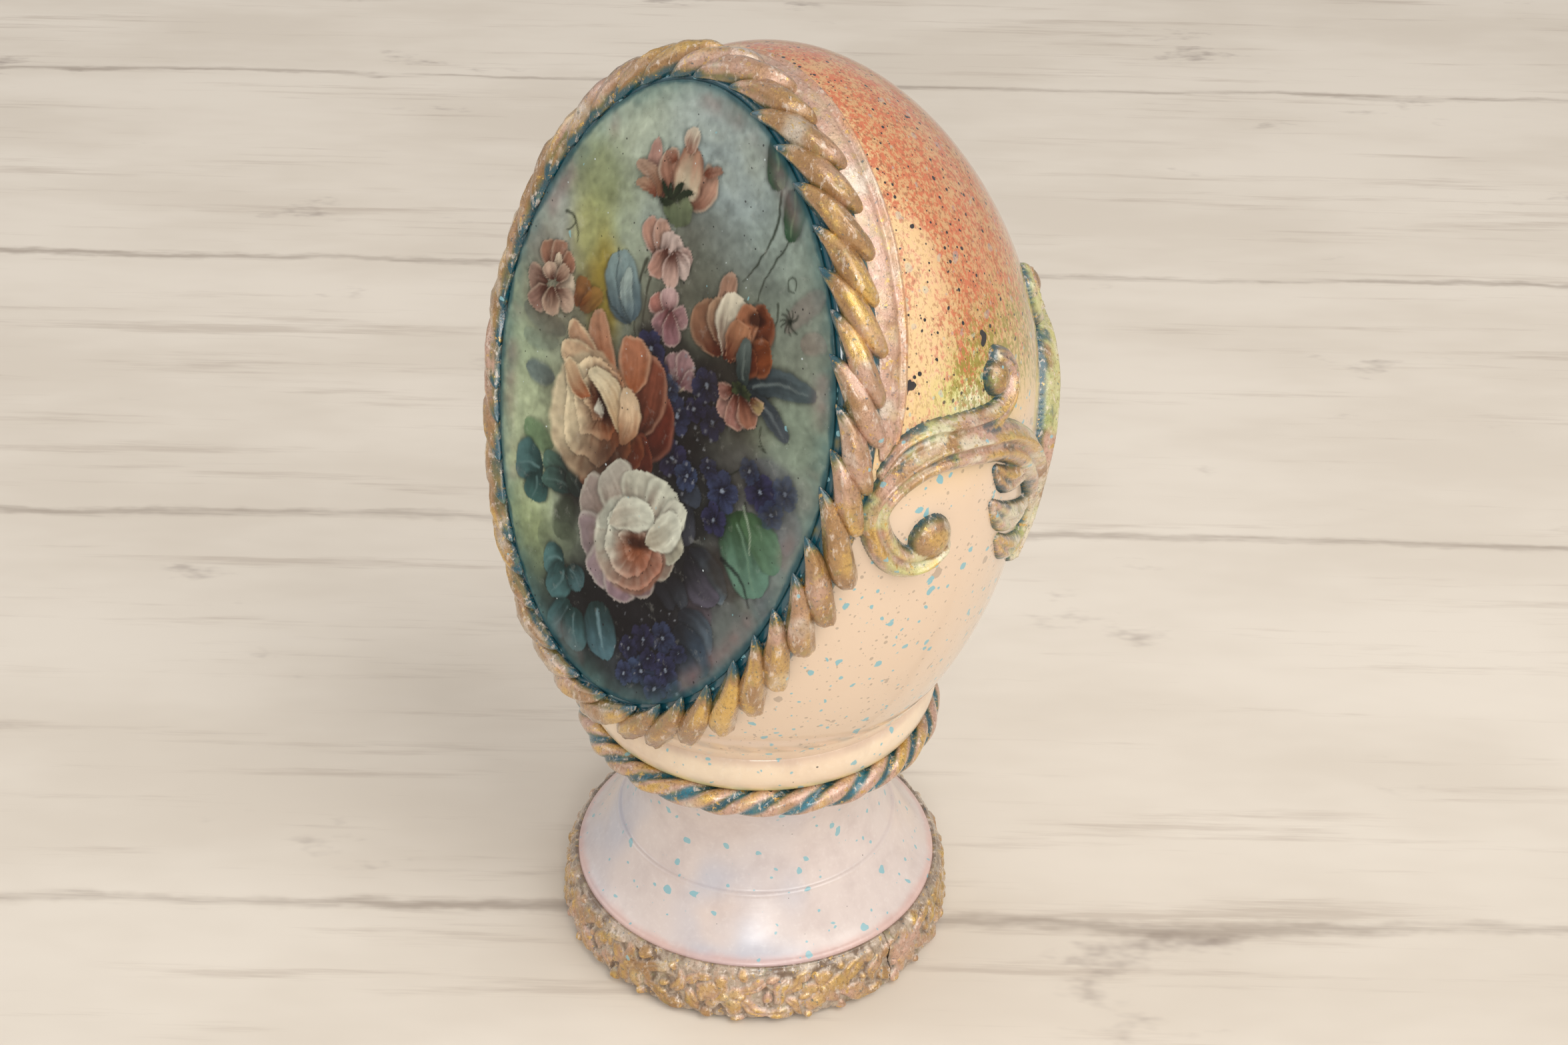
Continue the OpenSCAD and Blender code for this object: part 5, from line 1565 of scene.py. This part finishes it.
def set_pose(thing, right, up, back, place):
    """Puts a camera or a lamp in the scene; it looks along minus `back`."""
    pose = np.eye(4)
    pose[:3] = np.stack([right, up, back, place], 1)
    thing.matrix_world = Matrix(pose.tolist())
    bpy.context.scene.collection.objects.link(thing)


def place_camera():
    """A camera on a sphere round the egg's axis, tilted a little about its own view line."""
    back = np.array([math.sin(CAMERA_TURN) * math.cos(CAMERA_RISE),
                     -math.cos(CAMERA_TURN) * math.cos(CAMERA_RISE),
                     math.sin(CAMERA_RISE)])
    right = unit(np.cross(-back, [0, 0, 1]))
    up = np.cross(right, -back)
    c, s = math.cos(CAMERA_ROLL), math.sin(CAMERA_ROLL)
    turned_right, turned_up = right * c + up * s, up * c - right * s
    place = (np.array([0, 0, CAMERA_AIM_Z]) + right * CAMERA_ASIDE + back * CAMERA_DISTANCE) * MM
    camera = bpy.data.objects.new("camera", bpy.data.cameras.new("camera"))
    camera.data.sensor_width = SENSOR
    camera.data.lens = LENS
    camera.data.clip_start = CLIP_START
    set_pose(camera, turned_right, turned_up, back, place)
    bpy.context.scene.camera = camera


# Square lamps, in metres: name, place, side, power and colour.
LIGHTS = [
    ("window", (0.62, 0.05, 0.80), 0.7, 5.0, (1.0, 0.96, 0.91)),
    ("left_fill", (-0.75, -0.55, 0.55), 0.6, 1.5, (0.97, 0.98, 1.0)),
    ("front_fill", (0.69, -0.58, 0.50), 0.26, 2.6, (1.0, 0.98, 0.95)),
]
BOARD = 115.0
FLOOR_HALF = 9
LIGHT_TARGET = np.array([0, 0, 0.08])
ROOM_LIGHT = 0.56


def area_light(name, place, side, power, colour):
    light = bpy.data.lights.new(name, "AREA")
    light.shape = "RECTANGLE"
    light.size = light.size_y = side
    light.energy = power
    light.color = colour
    lamp = bpy.data.objects.new(name, light)
    back = unit(np.array(place) - LIGHT_TARGET)
    right = unit(np.cross([0, 0, 1.0], back))
    set_pose(lamp, right, np.cross(back, right), back, place)


def build_stage():
    """A floor of pale washed boards, the lamps, and a pale room."""
    mesh = bpy.data.meshes.new("floor")
    corners = [(-1, -1), (1, -1), (1, 1), (-1, 1)]
    mesh.from_pydata([(FLOOR_HALF * x, FLOOR_HALF * y, 0) for x, y in corners], [], [(0, 1, 2, 3)])
    floor = bpy.data.objects.new("floor", mesh)
    floor.rotation_euler[2] = CAMERA_TURN
    bpy.context.scene.collection.objects.link(floor)
    n = Nodes("washed_boards")
    wide = n.step(n.noise(45, 4, 0.6, (0.4, 1, 1)), 0.35, 0.65)
    grain = n.noise(6, 5, 0.7, (0.06, 1, 1), 4)
    blots = n.noise(26, 5, 0.65, (0.45, 1, 1), 9)
    colour = n.blend(tone(236, 227, 214), tone(225, 215, 201), wide)
    colour = n.layer(colour, tone(186, 172, 158), grain, 0.54, 0.72, 0.50)
    colour = n.layer(colour, tone(140, 126, 120), blots, 0.62, 0.74, 0.60)
    split = n.tree.nodes.new("ShaderNodeSeparateXYZ")
    n.put(split.inputs[0], n.place)
    across = n.plus(split.outputs["Y"], n.times(blots, 14.0))
    seam = n.step(n.math("PINGPONG", across, BOARD / 2), 0.0, 2.4, 0.55, 0.0)
    colour = n.blend(colour, tone(150, 136, 124), n.times(seam, n.step(grain, 0.35, 0.6)))
    mesh.materials.append(n.finish(colour, 0.7, coat=0.0))
    for name, *lamp in LIGHTS:
        area_light(name, *lamp)
    world = bpy.data.worlds.new("pale_room")
    world.use_nodes = True
    world.node_tree.nodes["Background"].inputs["Color"].default_value = (0.93, 0.90, 0.87, 1)
    world.node_tree.nodes["Background"].inputs["Strength"].default_value = ROOM_LIGHT
    bpy.context.scene.world = world
    bpy.context.scene.view_settings.view_transform = "Standard"


# ---------------------------------------------------------------- the build

place_camera()
build_stage()

moulding = moulding_finish("rubbed_bronze", 0.10, 0.25)
scroll_coat = moulding_finish("pink_scroll", 0.40, 0.60)

stand_in(egg_shell(), sponged_egg(), "egg_paint", "egg_body")
stand_in(medallion_print(), varnished_print(), "print_paper", "medallion_print")
stand_in(collar(), enamel("collar_enamel", 0.62, 0.07), "collar_paint", "collar_cup")
stand_in(pedestal_turning(), enamel("stand_enamel", 0.55, 0.24), "stand_paint", "pedestal")
for node in ROPE_LENGTHS:
    stand_in(rope_length(node), moulding, "rope_bronze", node)
for node in SKIRTS:
    stand_in(skirt_band(node), moulding, "scroll_pink", node)
for side, left in (("right", False), ("left", True)):
    for end, back in (("front", False), ("back", True)):
        node = f"scroll_{side}_{end}"
        seed = 460 + 10 * left + 5 * back
        stand_in(scroll_casting(node, back, left, seed), scroll_coat, "scroll_pink", node)
stand_in(collar_trim(), moulding, "rope_bronze", "collar_rope")
for node, start, seed in (("foot_band_front", -90, 541), ("foot_band_back", 90, 542)):
    stand_in(foot_moulding("painted_" + node, start, seed), moulding, "band_bronze", node)
for slot in bpy.data.objects["seat_dowel"].material_slots:
    slot.material = bare_wood()
